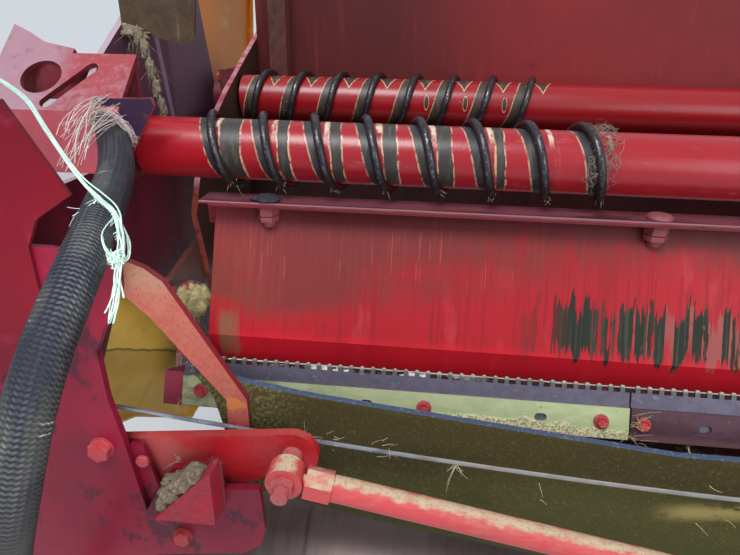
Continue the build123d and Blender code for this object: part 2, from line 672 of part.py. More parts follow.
def link_rod():
    """Rod with a screwed eye at each end, a slim neck and two jam nuts beside it."""
    x0, z0 = CRANK_X + CRANK_DX, CRANK_Z + CRANK_DZ
    fall = math.radians(ROD_DROP)
    along = Vector(math.cos(fall), 0, -math.sin(fall))
    start = Vector(x0, ROD_Y, z0)
    body_start = JAM_NUT_START + 2 * JAM_NUT_T
    body = rod(start + along * body_start, along, ROD_R, ROD_LENGTH - 2 * body_start)
    neck_start = EYE_R * 0.8
    body += rod(start + along * neck_start, along, NECK_R, ROD_LENGTH - 2 * neck_start)
    far = (x0 + rod_end()[0], z0 + rod_end()[1])
    ends = [((x0, z0), along, FIT), (far, along * -1, OPEN_PIVOT_FIT)]
    for (x, z), inward, clearance in ends:
        centre = Vector(x, ROD_Y, z)
        for index in range(2):
            nut_start = centre + inward * (JAM_NUT_START + index * JAM_NUT_T)
            body += hexagon(nut_start, inward, JAM_NUT, JAM_NUT_T)
        body += rod_y(x, z, EYE_R, ROD_Y - EYE_HALF, ROD_Y + EYE_HALF)
        body -= rod_y(x, z, STUD_R + clearance, ROD_Y - 2 * EYE_HALF, ROD_Y + 2 * EYE_HALF)
    return body


def idler_hanger():
    """Plate hung from the apron bar with the far crank's pivot."""
    x, z = CRANK_X + rod_end()[0], CRANK_Z + rod_end()[1]
    face = APRON_FRONT - PLATE_T
    plane = Plane(origin=(0, APRON_FRONT, 0), x_dir=(1, 0, 0), z_dir=(0, -1, 0))
    top = (x, sum(APRON_BAR_Z) / 2)
    plate = link(plane, (x, z), top, CRANK_R, CRANK_R, PLATE_T)
    washer = CRANK_Y[0] - RUN_GAP - SEAT
    pin = rod_y(x, z, CRANK_PIVOT_R, washer - SHEET_T, face)
    pin += rod_y(x, z, CRANK_PIVOT_R + SHEET_T, washer - SHEET_T, washer)
    return plate + pin + rod_y(x, z, CRANK_PIVOT_R + SHEET_T, CRANK_Y[1] + SHEET_T + SEAT, face)


# Cable and hose

def cable_points():
    end = (CABLE_END[0] - WALL_INNER, CABLE_END[1])
    (near, near_z), middle = CABLE_SAG
    line = [end, (-near, near_z), middle, (near, near_z), (-end[0], end[1])]
    return [(x, CABLE_Y, z) for x, z in line]


def hose_points():
    return [(inboard - WALL_INNER, y, z) for inboard, y, z in HOSE]


def cord(points, radius):
    """Round cord on a smooth line: each inner point bends it from the middle of one span to the next."""
    spots = [Vector(*point) for point in points]
    middles = [(a + b) * 0.5 for a, b in zip(spots[1:-2], spots[2:-1])]
    joints = [spots[0], *middles, spots[-1]]
    curves = [Bezier(a, bend, b) for a, bend, b in zip(joints, spots[1:-1], joints[1:])]
    path = Wire(curves)
    print("cord length", round(path.length))
    return sweep(Plane(origin=path @ 0, z_dir=path % 0) * Circle(radius), path=path)


def end_fitting(end, nearby, radius, low, high):
    """Round fitting in line with a cord's end, cut off between two corners."""
    end, nearby = Vector(*end), Vector(*nearby)
    space = block(*zip(low, high))
    return rod(end, (end - nearby).normalized(), radius, FITTING_REACH) & space


def around(point, **limits):
    """Corners of a box round a point, with some of its limits given by name."""
    low = [place - FITTING_REACH for place in point]
    high = [place + FITTING_REACH for place in point]
    for name, value in limits.items():
        (low if name.endswith("low") else high)["xyz".index(name[0])] = value
    return low, high


def cable_anchor():
    end, nearby = cable_points()[:2]
    return end_fitting(end, nearby, ANCHOR_R, *around(end, x_low=-WALL_INNER))


def hose_fitting():
    """Screwed fitting on the roll bracket's front face."""
    end, nearby = hose_points()[:2]
    return end_fitting(end, nearby, FITTING_R, *around(end, y_high=ROLL_BRACKET[0][0],
                                                       z_high=ROLL_BRACKET[1][1]))


def hose_socket():
    """Socket on the post's front face."""
    nearby, end = hose_points()[-2:]
    return end_fitting(end, nearby, SOCKET_R, *around(end, y_high=POST_Y[0]))


def side_shield():
    """Pressed pan outside the outer wall, on four standoffs."""
    skin = -WALL_INNER - WALL_T - SHIELD_GAP
    face = make_face(Polyline(*[(skin, y, z) for y, z in SHIELD], close=True))
    hollow = offset(face, amount=-SHIELD_T)
    pan = extrude(face, amount=SHIELD_LIP, dir=(1, 0, 0)) - (
        Pos(SHIELD_T, 0, 0) * extrude(hollow, amount=SHIELD_LIP, dir=(1, 0, 0)))
    for y, z in SHIELD_STANDOFFS:
        pan += rod_x(y, z, STANDOFF_R, skin, -WALL_INNER - WALL_T)
    return pan


# Everything, piece by piece

def save_fixed():
    save("cross_beam", cross_beam())
    save("back_panel", back_panel())
    save("back_channels", back_channels())
    save("net_chute", net_chute())
    save_pair("side_plate", side_plate())
    save_pair("outer_wall", outer_wall())
    save("post_left", post())
    save("post_right", mirrored(plain_post()))
    save("foot_gusset_left", foot_gusset())
    save_pair("front_cover", cover())
    save_pair("roll_bracket", roll_bracket())
    save_pair("dust_plate", dust_plate())
    save_pair("front_bearing", bearing(0, 0, -WALL_INNER, 1))
    save_pair("rear_bearing", bearing(REAR_ROLL_Y, REAR_ROLL_Z, -CHAMBER_HALF - SIDE_T, -1))
    save_pair("floor_bearing", bearing(FLOOR_ROLL_Y, FLOOR_ROLL_Z, -WALL_INNER, 1))
    save("guide_rail", guide_rail())
    save("guide_panel", guide_panel())
    save_pair("knife_hanger", knife_hanger())
    save("apron", apron())
    save("apron_bar", apron_bar())
    save_pair("brace", brace())
    save("idler_hanger", idler_hanger())
    save("steel_cable", cord(cable_points(), CABLE_R))
    save_pair("cable_anchor", cable_anchor())
    save("hose", cord(hose_points(), HOSE_R))
    save("hose_fitting", hose_fitting())
    save("hose_socket", hose_socket())
    save_pair("side_shield", side_shield())


def save_rolls():
    boss_face = WALL_INNER - BEARING_DEPTH
    for name, y, z, radius in (("front_roll", 0, 0, ROLL_R),
                               ("floor_roll", FLOOR_ROLL_Y, FLOOR_ROLL_Z, FLOOR_ROLL_R)):
        tube = roll_tube(y, z, radius, FRONT_ROLL_HALF, WALL_INNER)
        save(name, collared(tube, y, z, FRONT_ROLL_HALF, boss_face))
    save("rear_roll", roll_tube(REAR_ROLL_Y, REAR_ROLL_Z, ROLL_R, REAR_ROLL_HALF,
                                CHAMBER_HALF + SIDE_T + BEARING_DEPTH))
    save("front_roll_spirals", roll_spirals(0, 0, FRONT_COIL_START, FRONT_COIL_ANGLE, False))
    save("rear_roll_spirals", roll_spirals(REAR_ROLL_Y, REAR_ROLL_Z, REAR_COIL_START,
                                           REAR_COIL_ANGLE, True))


def save_knife():
    save("knife_tube", knife_tube())
    for index, name in enumerate(("left", "middle", "right")):
        save(f"blade_{name}", blade_segment(*strip_limits(index)))
        save(f"clamp_strip_{name}", clamp_strip(*strip_limits(index)))
    save_pair("knife_arm", knife_arm())


def save_linkage():
    far_x, far_z = CRANK_X + rod_end()[0], CRANK_Z + rod_end()[1]
    save("crank_near", crank(CRANK_X, CRANK_Z))
    save("crank_stud_near", crank_stud(CRANK_X, CRANK_Z))
    save("link_rod", link_rod())
    save("crank_far", crank(far_x, far_z))
    save("crank_stud_far", crank_stud(far_x, far_z))


os.makedirs("parts", exist_ok=True)
save_fixed()
save_rolls()
save_knife()
save_linkage()
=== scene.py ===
# %% [markdown]
# # Net wrap feed and knife unit of a round baler
#
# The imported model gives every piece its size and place.  This lesson dresses it: each steel plate,
# roll, strip and cord gets the finish that years of hay and net have given it, and the small
# pieces that the plain model leaves out are added.  Blender works in metres, but the places below
# are easier to read in millimetres from the front roll's axis, so one helper turns them over.

# %% Load the frame
import math
import random

import bmesh
import bpy
from mathutils import Matrix, Vector, noise


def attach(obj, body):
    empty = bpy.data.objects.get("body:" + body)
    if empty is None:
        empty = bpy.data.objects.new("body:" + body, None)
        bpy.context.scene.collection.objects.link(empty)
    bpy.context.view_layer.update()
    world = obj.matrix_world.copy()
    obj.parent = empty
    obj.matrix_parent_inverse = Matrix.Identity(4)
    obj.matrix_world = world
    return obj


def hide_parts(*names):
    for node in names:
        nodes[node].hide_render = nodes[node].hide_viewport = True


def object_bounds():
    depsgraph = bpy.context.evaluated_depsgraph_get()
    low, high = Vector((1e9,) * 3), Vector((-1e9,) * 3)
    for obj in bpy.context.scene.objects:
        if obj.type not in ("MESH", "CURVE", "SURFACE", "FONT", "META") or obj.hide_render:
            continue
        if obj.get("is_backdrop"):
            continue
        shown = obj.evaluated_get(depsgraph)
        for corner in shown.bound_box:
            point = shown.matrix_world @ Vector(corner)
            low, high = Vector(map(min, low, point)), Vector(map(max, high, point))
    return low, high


MM = 1000.0                 # millimetres in a metre
AXIS_BACK = 500.0           # front roll's axis, ahead of the mounting face

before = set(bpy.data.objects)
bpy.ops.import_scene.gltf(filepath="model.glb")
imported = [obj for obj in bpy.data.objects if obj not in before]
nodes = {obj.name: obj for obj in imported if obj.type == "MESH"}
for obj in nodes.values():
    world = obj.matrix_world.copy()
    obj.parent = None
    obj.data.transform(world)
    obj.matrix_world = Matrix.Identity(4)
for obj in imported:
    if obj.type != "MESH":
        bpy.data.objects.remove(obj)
cad_low, cad_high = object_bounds()


def place(x, y, z):
    """A place in millimetres from the front roll's axis, as the model's metres."""
    return Vector((x, y - AXIS_BACK, z)) / MM


print("nodes:", len(nodes), "box:", [round(v, 3) for v in (*cad_low, *cad_high)])

# %% [markdown]
# Small pieces are built as a bmesh, whose corners and faces can still be changed.  When one is done
# it becomes a plain mesh, and an object shows that mesh.  These helpers do both, and round edges.

# %% Helpers for meshes and objects
def show(name, data):
    """Puts an object with this data into the scene."""
    made = bpy.data.objects.new(name, data)
    bpy.context.scene.collection.objects.link(made)
    return made


def bevel(bm, edges, width):
    """Rounds these edges by so many millimetres."""
    bmesh.ops.bevel(bm, geom=edges, offset=width / MM, segments=2, profile=0.5, affect="EDGES",
                    material=-1)


def finished(name, bm):
    """A finished bmesh becomes a mesh."""
    mesh = bpy.data.meshes.new(name)
    bm.to_mesh(mesh)
    bm.free()
    return mesh


# %% [markdown]
# ## Camera
#
# The photograph was taken by hand, close to the left end, looking in and down, with the camera a
# little turned.  Its place and three directions were worked out from the rolls and the knife's
# even teeth, so they are written as they were measured.

# %% Camera
CAMERA_PLACE = (-0.475, -1.1453, 0.1336)
CAMERA_RIGHT = (0.99488, 0.09912, 0.01981)
CAMERA_UP = (-0.05849, 0.40473, 0.91256)
CAMERA_BACK = (0.08244, -0.90905, 0.40846)
LENS = 27.05                # on a sensor 36 wide

camera = show("camera", bpy.data.cameras.new("camera"))
camera.data.sensor_width = 36.0
camera.data.lens = LENS
camera.matrix_world = Matrix.Translation(CAMERA_PLACE) @ Matrix(
    (CAMERA_RIGHT, CAMERA_UP, CAMERA_BACK)).transposed().to_4x4()
bpy.context.scene.camera = camera
print("camera at", CAMERA_PLACE, "lens", LENS)

# %% [markdown]
# ## Tubes along a line
#
# A hose, a cable's strands, a thread of net and a straw are all a ring carried along a line.  The
# line is a NURBS spline, which runs smoothly past its control points, and a curve object can be
# read back as points, so the ring is set down on each point and bridged to the next.

# %% A spline and its points
def spline(points, steps=12):
    """A smooth open curve with these control points, not yet linked."""
    line = bpy.data.curves.new("line", "CURVE")
    line.dimensions = "3D"
    path = line.splines.new("NURBS")
    path.points.add(len(points) - 1)
    for spot, where in zip(path.points, points):
        spot.co = (*where, 1.0)
    path.order_u = 3
    path.use_endpoint_u = True
    line.resolution_u = steps
    return line


def read_line(points, steps=12):
    """Points read along the smooth curve."""
    holder = bpy.data.objects.new("line", spline(points, steps))
    mesh = bpy.data.meshes.new_from_object(holder)
    spots = [v.co.copy() for v in mesh.vertices]
    bpy.data.meshes.remove(mesh)
    bpy.data.curves.remove(holder.data)
    return spots


def line_length(spots):
    return sum((b - a).length for a, b in zip(spots, spots[1:]))


# %% [markdown]
# A ring keeps its sideways direction from one point to the next, so the tube doesn't twist.  Each
# tube is built by itself and joined on afterwards, since a small mesh is quicker to edit.

# %% A ring carried along those points
def join_to(bm, part):
    """Moves everything in part into bm."""
    mesh = finished("part", part)
    bm.from_mesh(mesh)
    bpy.data.meshes.remove(mesh)


def tube(bm, spots, radius, sides=12, taper=None):
    """Adds a ring carried along the points; UV holds metres along and the turn round."""
    part = bmesh.new()
    uv = part.loops.layers.uv.verify()
    rings, run = [], 0.0
    side = None
    for index, spot in enumerate(spots):
        before = spots[max(index - 1, 0)]
        after = spots[min(index + 1, len(spots) - 1)]
        along = (after - before).normalized()
        if side is None:
            side = along.orthogonal().normalized()
        side = (side - along * side.dot(along)).normalized()
        turned = Matrix((side, along.cross(side), along)).transposed().to_4x4()
        size = radius if taper is None else radius * taper(index / (len(spots) - 1))
        ring = bmesh.ops.create_circle(part, segments=sides, radius=size,
                                       matrix=Matrix.Translation(spot) @ turned)["verts"]
        rings.append((run, ring))
        if index < len(spots) - 1:
            run += (spots[index + 1] - spot).length
    for (start, first), (stop, second) in zip(rings, rings[1:]):
        for k in range(sides):
            m = (k + 1) % sides
            face = part.faces.new((first[k], first[m], second[m], second[k]))
            face.smooth = True
            corners = ((start, k), (start, k + 1), (stop, k + 1), (stop, k))
            for loop, (metres, turn) in zip(face.loops, corners):
                loop[uv].uv = (metres, turn / sides)
    part.faces.new(rings[0][1][::-1])
    part.faces.new(rings[-1][1])
    join_to(bm, part)


def new_piece(name, bm, body, material):
    """A finished bmesh becomes an object at the origin that rides on a body."""
    piece = show(name, finished(name, bm))
    piece.data.materials.append(material)
    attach(piece, body)
    print(name, "faces:", len(piece.data.polygons))
    return piece


# %% [markdown]
# ## Shader sums
#
# A worn finish is a sum of patterns: noise, bands and edges.  Wiring those by hand is slow, so a
# small class wraps a socket and lets Python's own signs add the Math nodes.

# %% A socket that can be added and multiplied
class Shade:
    """One socket of a material's nodes."""

    def __init__(self, tree, socket):
        self.tree = tree
        self.socket = socket

    def node(self, kind, inputs, output=0, stops=(), **settings):
        """Adds a node: settings first, then values or links, and gives back one of its outputs."""
        made = self.tree.nodes.new(kind)
        for name, value in settings.items():
            setattr(made, name, value)
        for where, level in stops:
            ramp = made.color_ramp
            ramp.interpolation = "CONSTANT"
            stop = ramp.elements.new(where) if where else ramp.elements[0]
            stop.color = ramp.elements[-1].color = (level, level, level, 1.0)
        for key, value in inputs.items():
            if isinstance(value, Shade):
                self.tree.links.new(value.socket, made.inputs[key])
            else:
                made.inputs[key].default_value = value
        return Shade(self.tree, made.outputs[output])

    def math(self, operation, *values):
        return self.node("ShaderNodeMath", dict(enumerate(values)), operation=operation)

    def __add__(self, other):
        return self.math("ADD", self, other)

    def __sub__(self, other):
        return self.math("SUBTRACT", self, other)

    def __mul__(self, other):
        return self.math("MULTIPLY", self, other)

    def __truediv__(self, other):
        return self.math("DIVIDE", self, other)

    def __rsub__(self, other):
        return self.math("SUBTRACT", other, self)

    __radd__ = __add__
    __rmul__ = __mul__

    def fract(self):
        return self.math("FRACT", self)

    def size(self):
        return self.math("ABSOLUTE", self)

    def least(self, other):
        return self.math("MINIMUM", self, other)

    def most(self, other):
        return self.math("MAXIMUM", self, other)

    def rise(self, low, high):
        """0 below low and 1 above high, with a smooth step between; low may be the higher one."""
        made = self.node("ShaderNodeMapRange", {"Value": self, "From Min": min(low, high),
                                                "From Max": max(low, high)},
                         interpolation_type="SMOOTHSTEP", clamp=True)
        return 1.0 - made if low > high else made

    def between(self, low, high, soft):
        """1 between two values and 0 outside, with soft edges."""
        return self.rise(low - soft, low + soft) * self.rise(high + soft, high - soft)

    def lookup(self, levels):
        """Steps through a row of levels between 0 and 1 as the value goes from 0 to 1."""
        stops = [(index / len(levels), level) for index, level in enumerate(levels)]
        return self.node("ShaderNodeValToRGB", {"Fac": self}, stops=stops)


def srgb(code):
    """A colour as seen on a screen, given as six hex digits, turned into light."""
    parts = [int(code[k:k + 2], 16) / 255 for k in (0, 2, 4)]
    light = [p / 12.92 if p <= 0.04045 else ((p + 0.055) / 1.055) ** 2.4 for p in parts]
    return (*light, 1.0)


# %% [markdown]
# ## A finish under construction
#
# Every material starts the same way: where on the piece are we, in millimetres from the front
# roll's axis, and which way does the surface face?  Colours are then laid over each other like
# coats, each through its own mask.

# %% A material and its patterns
class Finish:
    """A material built up in coats."""

    def __init__(self, name, base, on_uv=False, gloss=0.35):
        self.material = bpy.data.materials.new(name)
        self.material.use_nodes = True
        self.tree = self.material.node_tree
        self.shader = self.tree.nodes["Principled BSDF"]
        coords = self.tree.nodes.new("ShaderNodeTexCoord")
        source = Shade(self.tree, coords.outputs["UV" if on_uv else "Object"])
        shift = (0.0, 0.0, 0.0) if on_uv else (0.0, AXIS_BACK, 0.0)
        self.spot = source.node("ShaderNodeVectorMath", {0: source, 1: (MM, MM, MM), 2: shift},
                                operation="MULTIPLY_ADD")
        self.x, self.y, self.z = self.parts(self.spot)
        self.out_x, self.out_y, self.out_z = self.parts(Shade(self.tree, coords.outputs["Normal"]))
        self.colour = srgb(base)
        self.height = None
        self.shader.inputs["Specular IOR Level"].default_value = gloss

    def parts(self, vector):
        return [vector.node("ShaderNodeSeparateXYZ", {0: vector}, output=k) for k in range(3)]

    def noise(self, size, stretch=(1, 1, 1), detail=3.0, rough=0.55, seed=0.0, warp=0.0):
        """Noise whose blots are about size millimetres, times the stretch along each axis."""
        scale = tuple(1.0 / (size * s) for s in stretch)
        shift = (seed, seed, seed)
        vector = self.spot.node("ShaderNodeVectorMath", {0: self.spot, 1: scale, 2: shift},
                                operation="MULTIPLY_ADD")
        return vector.node("ShaderNodeTexNoise", {"Vector": vector, "Scale": 1.0, "Detail": detail,
                                                  "Roughness": rough, "Distortion": warp})

    def coat(self, share, colour):
        """Lays a colour over what is there, where share is 1."""
        self.colour = self.spot.node("ShaderNodeMix", {0: share, 6: self.colour, 7: srgb(colour)},
                                     output=2, data_type="RGBA")
        return share

    def marks(self, colour, share, low, high, size, *stretch, **kind):
        """Lays a colour where noise of this size rises from low to high."""
        return self.coat(self.noise(size, *stretch, **kind).rise(low, high) * share, colour)

    def raise_by(self, height):
        self.height = height if self.height is None else self.height + height

    def finish(self, rough, metal=0.0, depth=0.3):
        """Feeds the shader; the raised height is in millimetres times depth."""
        for name, value in (("Base Color", self.colour), ("Roughness", rough), ("Metallic", metal)):
            if isinstance(value, Shade):
                self.tree.links.new(value.socket, self.shader.inputs[name])
            else:
                self.shader.inputs[name].default_value = value
        if self.height is not None:
            raised = self.height.node("ShaderNodeBump", {"Height": self.height, "Strength": 1.0,
                                                         "Distance": depth / MM})
            self.tree.links.new(raised.socket, self.shader.inputs["Normal"])
        return self.material


def dress(material, *names):
    """Puts one material on CAD nodes."""
    for name in names:
        slots = nodes[name].data.materials
        slots.clear()
        slots.append(material)
    print(material.name, "on", ", ".join(names))


def pair(name):
    return name + "_left", name + "_right"


# %% [markdown]
# ## Painted steel
#
# Most of the unit is sheet steel in red, clouded by sun and oil, pale where dust has settled on
# what faces up, and chipped down to dark primer.  One recipe does the groundwork, and the
# special marks of a piece are laid over it afterwards.

# %% Paint recipe
def paint(name, base, shade, dust="b08078", chip="2c2226", shading=0.6, dusting=0.3, chipping=0.1,
          cloud=90.0, stretch=(1, 1, 1), seed=0.0, gloss=0.35):
    """Clouded, dusty, chipped paint; gives the finish and its roughness so far."""
    make = Finish(name, base, gloss=gloss)
    clouds = make.noise(cloud, stretch, detail=5.0, seed=seed)
    fine = make.noise(cloud / 7, stretch, detail=6.0, rough=0.7, seed=seed + 3.0)
    make.coat(clouds.rise(0.36, 0.66) * shading, shade)
    settled = make.out_z.rise(0.2, 0.95) * 0.5 + 0.5
    dusty = make.coat((fine * 0.6 + clouds * 0.4).rise(0.42, 0.68) * settled * dusting, dust)
    rough = 0.36 + dusty * 0.4 + fine * 0.14
    make.raise_by(fine * 0.4)
    if chipping:
        specks = make.noise(cloud / 20, stretch, detail=4.0, rough=0.7, seed=seed + 7.0)
        edge = 0.68 - chipping * 0.5
        chips = make.coat((specks * 0.5 + clouds * 0.5).rise(edge, edge + 0.012), chip)
        make.raise_by(chips * -0.6)
    return make, rough


def plain_paint(name, base, shade, dust, depth=0.3, **mixing):
    make, rough = paint(name, base, shade, dust, **mixing)
    return make.finish(rough, depth=depth)


# %% [markdown]
# ## Hose
#
# A hydraulic hose in a ribbed sleeve leaves a fitting on the roll bracket, swings out towards the
# viewer and drops to a socket low on the post.  It is the nearest thing to the camera.  Its control
# points are the same as in the solid model.  The sleeve's ribs are finer than a mesh should carry,
# so they are bump, drawn on the distance along the hose and the turn round it.

# %% Hose sleeve
HOSE_ROUTE = [(-0.799, -0.584, 0.030), (-0.760, -0.647, 0.014), (-0.728, -0.728, 0.003),
              (-0.703, -0.820, -0.019), (-0.704, -0.882, -0.066), (-0.715, -0.912, -0.136),
              (-0.744, -0.908, -0.214), (-0.775, -0.886, -0.292), (-0.805, -0.851, -0.368),
              (-0.836, -0.807, -0.443), (-0.868, -0.758, -0.520)]
HOSE_RADIUS = 0.016
HOSE_STEPS, HOSE_SIDES = 16, 40
RIB_PITCH = 3.4
ZIGZAGS = 22.0              # of each rib, in one turn round the hose

sleeve = Finish("sleeve_finish", "10111a", on_uv=True, gloss=0.5)
turn = sleeve.y / MM
zigzag = ((turn * ZIGZAGS).fract() - 0.5).size() * 0.5
rib = ((sleeve.x / RIB_PITCH + turn + zigzag).fract() - 0.5).size() * 2.0
wear = sleeve.noise(70.0, (1, 4, 1), detail=4.0)
scuff = sleeve.noise(5.0, (1, 60, 1), detail=3.0, seed=4.0)
sleeve.coat(rib.rise(0.35, 0.8) * 0.4, "2a3044")
sleeve.coat(wear.rise(0.46, 0.62) * 0.65 * (0.35 + rib), "4c4a46")
sleeve.coat(sleeve.x.rise(330, 520) * 0.55 * (0.3 + scuff), "5c564c")
sleeve.coat((scuff * 0.6 + wear * 0.4).rise(0.6, 0.64) * rib.rise(0.5, 0.9), "a8a6a2")
sleeve.raise_by(rib * 1.0 + wear * 0.6)
sleeve_finish = sleeve.finish(0.42 + wear * 0.25, depth=1.1)

hose_line = read_line(HOSE_ROUTE, HOSE_STEPS)
hose_mesh = bmesh.new()
tube(hose_mesh, hose_line, HOSE_RADIUS, sides=HOSE_SIDES)
hose = new_piece("hose_sleeve", hose_mesh, "frame", sleeve_finish)
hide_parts("hose")
line_length(hose_line)
print("hose length:", round(line_length(hose_line), 3))

# %% [markdown]
# ## Floor and light
#
# The unit is shown over a plain pale floor.  A real studio's floor runs up into the wall behind it.
# Here the floor is shown to the camera partly in the backdrop's colour, so that it stays pale far
# away while the unit's shadow still falls on it.

# %% Floor
FLOOR_COLOUR = (0.70, 0.70, 0.70, 1.0)
BACKDROP_COLOUR = (0.64, 0.68, 0.73, 1.0)
FLOOR_HALF = 8.0
FLOOR_GAP = 0.002           # between the floor and the lowest piece
FLOOR_SHARE = 0.55          # of the backdrop's colour in what the camera sees
RAYS = "Is Camera Ray", "Is Glossy Ray", "Is Transmission Ray"


def seen_share(tree, share):
    """A socket that is share for what the camera sees, also in a mirror, and 0 for other light."""
    rays = tree.nodes.new("ShaderNodeLightPath").outputs
    seen, mirrored, through = [Shade(tree, rays[kind]) for kind in RAYS]
    return (seen.most(mirrored).most(through) * share).socket


def mix_shown(tree, share, real, shown, output):
    """Shows one shader to the camera in place of part of another."""
    choice = tree.nodes.new("ShaderNodeMixShader")
    sources = seen_share(tree, share), real.outputs[0], shown.outputs[0]
    for source, socket in zip(sources, choice.inputs):
        tree.links.new(source, socket)
    tree.links.new(choice.outputs[0], output.inputs["Surface"])


floor_mesh = bmesh.new()
bmesh.ops.create_grid(floor_mesh, x_segments=1, y_segments=1, size=FLOOR_HALF,
                      matrix=Matrix.Translation((0, 0, cad_low.z - FLOOR_GAP)))
floor = show("floor", finished("floor", floor_mesh))
floor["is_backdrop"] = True
floor_paint = bpy.data.materials.new("floor_paint")
floor_paint.use_nodes = True
tree = floor_paint.node_tree
matt = tree.nodes["Principled BSDF"]
matt.inputs["Base Color"].default_value = FLOOR_COLOUR
matt.inputs["Roughness"].default_value = 0.9
pale = tree.nodes.new("ShaderNodeEmission")
pale.inputs["Color"].default_value = BACKDROP_COLOUR
mix_shown(tree, FLOOR_SHARE, matt, pale, tree.nodes["Material Output"])
floor.data.materials.append(floor_paint)
print("floor at", round(cad_low.z, 3))

# %% [markdown]
# A broad soft lamp stands above and in front, as the open sky did, and a weaker one to the right
# fills the shadows.  The left shield is open to the sky outside the unit, so a soft spot reaches
# it past the hose.  The pale backdrop is only shown to the camera, so it lights nothing.

# %% Lamps and world
LAMPS = {"sky_lamp": ((-1.0, -2.1, 2.5), 1.5, 88.0), "fill_lamp": ((1.3, -2.2, 0.5), 1.8, 21.0)}
LAMP_AIM = (-0.2, -0.45, -0.1)
LAMP_COLOUR = (0.93, 0.97, 1.0)
SPOT_PLACE, SPOT_AIM, SPOT_POWER = (-0.46, -1.30, 0.12), (-0.845, -0.50, -0.175), 34.0
SPOT_CONE, SPOT_SOFT = 24.0, 0.12       # cone in degrees, lamp's radius in metres
SKY_COLOUR, SKY_STRENGTH = (0.74, 0.87, 1.0, 1.0), 0.42


def add_lamp(name, kind, where, aim, power):
    lamp = show(name, bpy.data.lights.new(name, kind))
    lamp.data.energy = power
    lamp.data.color = LAMP_COLOUR
    lamp.location = where
    lamp.rotation_euler = (Vector(aim) - Vector(where)).to_track_quat("-Z", "Y").to_euler()
    return lamp.data


for name, (where, size, power) in LAMPS.items():
    lamp = add_lamp(name, "AREA", where, LAMP_AIM, power)
    lamp.shape = "DISK"
    lamp.size = size
spot = add_lamp("shield_lamp", "SPOT", SPOT_PLACE, SPOT_AIM, SPOT_POWER)
spot.spot_size = math.radians(SPOT_CONE)
spot.spot_blend = 1.0
spot.shadow_soft_size = SPOT_SOFT
print("lamps:", ", ".join([*LAMPS, "shield_lamp"]))

world = bpy.data.worlds.new("studio")
world.use_nodes = True
sky = world.node_tree.nodes["Background"]
sky.inputs["Color"].default_value = SKY_COLOUR
sky.inputs["Strength"].default_value = SKY_STRENGTH
backdrop = world.node_tree.nodes.new("ShaderNodeBackground")
backdrop.inputs["Color"].default_value = BACKDROP_COLOUR
mix_shown(world.node_tree, 1.0, sky, backdrop, world.node_tree.nodes["World Output"])
bpy.context.scene.world = world
bpy.context.scene.view_settings.view_transform = "Standard"

# %% [markdown]
# ## Feed rolls
#
# Net and twine run under the welded spirals and polish the paint away beside them, so each roll
# carries dark bands with a thin pale edge of undercoat.  A band follows a helix: its distance
# along the roll comes from X and from the angle round the axis, and the fraction of the pitch
# repeats it.  The spirals mirror about the middle, so X is used without its sign.

# %% Distance from lines wound on a roll
PITCH = 60.0
TURNS = 8


def wound(make, y, z, crest, lean):
    """Distance in mm from the nearest line, the line's number over the turns, and the angle.

    The lines cross the roll's top at crest plus whole pitches and lean by lean mm a turn.
    """
    angle = make.y.math("ARCTAN2", y - make.y, make.z - z) / (2 * math.pi)
    along = (make.x.size() * -1.0 - crest - angle * lean) / PITCH + 0.5
    return (along.fract() - 0.5) * PITCH, along.math("FLOOR", along) / TURNS, angle


def only(number):
    """1 from the first line to the last."""
    return number.between(-0.06, 1.0 - 0.06, 0.03)


# %% [markdown]
# The front roll's worn bands lean the way its spiral does.  One lies beside each turn, a second one
# to its right narrows along the roll, and pale undercoat shows in patches at its top.

# %% Front roll
FRONT_CREST = -721.0
SECOND_BAND = [0.55, 0.30, 0.30, 0.38, 0.40, 0.22, 0.05, 0.0]   # widths of the right-hand bands
BAND_HALF = 20.0            # half of the width that 1.0 stands for

roll = Finish("front_roll_paint", "a01622", gloss=0.5)
wobble = (roll.noise(9.0, (1, 3, 3), detail=4.0) - 0.5) * 7.0
cloud = roll.noise(60.0, detail=4.0)
roll.coat(cloud.rise(0.4, 0.7) * 0.35, "9a1822")
roll.marks("d8868a", 0.3, 0.6, 0.8, 14.0, (3, 1, 1), detail=5.0, seed=9.0)
near_coil, number, angle = wound(roll, 0.0, 0.0, FRONT_CREST, PITCH)
far_band, count, _ = wound(roll, 0.0, 0.0, FRONT_CREST + 25.0, 22.0)
worn = near_coil + wobble * 0.35
bare = worn.between(-13.5, 1.0, 0.5) * only(number)
rim = (worn + 14.4).size().rise(1.3, 0.6) * only(number)
half = (count + 0.5 / TURNS).lookup(SECOND_BAND) * BAND_HALF
reach = (far_band + wobble).size() - half
faded = angle.size().rise(0.46, 0.36)
seen = half.rise(0.9, 1.5) * faded * only(count)
bare_two = reach.rise(0.6, -0.6) * seen
rim_two = (reach - 0.9).size().rise(1.2, 0.5) * seen
patch = (far_band + half + 4.0 + wobble).size() - 2.6
pale = patch.rise(0.8, -0.8) * angle.rise(0.16, 0.08) * roll.noise(16.0, seed=5.0).rise(0.4, 0.52)
roll.coat(near_coil.between(2.0, 12.0, 2.0) * only(number) * 0.4, "8c1a30")
roll.coat(pale * only(count) * faded, "d8c4ac")
roll.coat(bare_two, "37302c")
roll.coat(bare, "2f2c30")
rubbed = (bare + bare_two).least(1.0)
roll.coat(rubbed * roll.noise(5.0, (1, 5, 5), detail=5.0).rise(0.5, 0.72) * 0.6, "5c564c")
roll.coat((rim * 0.75 + rim_two).least(1.0) * roll.noise(8.0, seed=2.0).rise(0.36, 0.56), "c8a480")
specks = roll.noise(2.2, detail=2.0, seed=6.0) * 0.6 + roll.noise(30.0, seed=1.0) * 0.4
roll.coat(specks.rise(0.66, 0.68), "3a1216")
roll.raise_by(roll.noise(3.0, detail=4.0) * 0.4 - rubbed * 0.6)
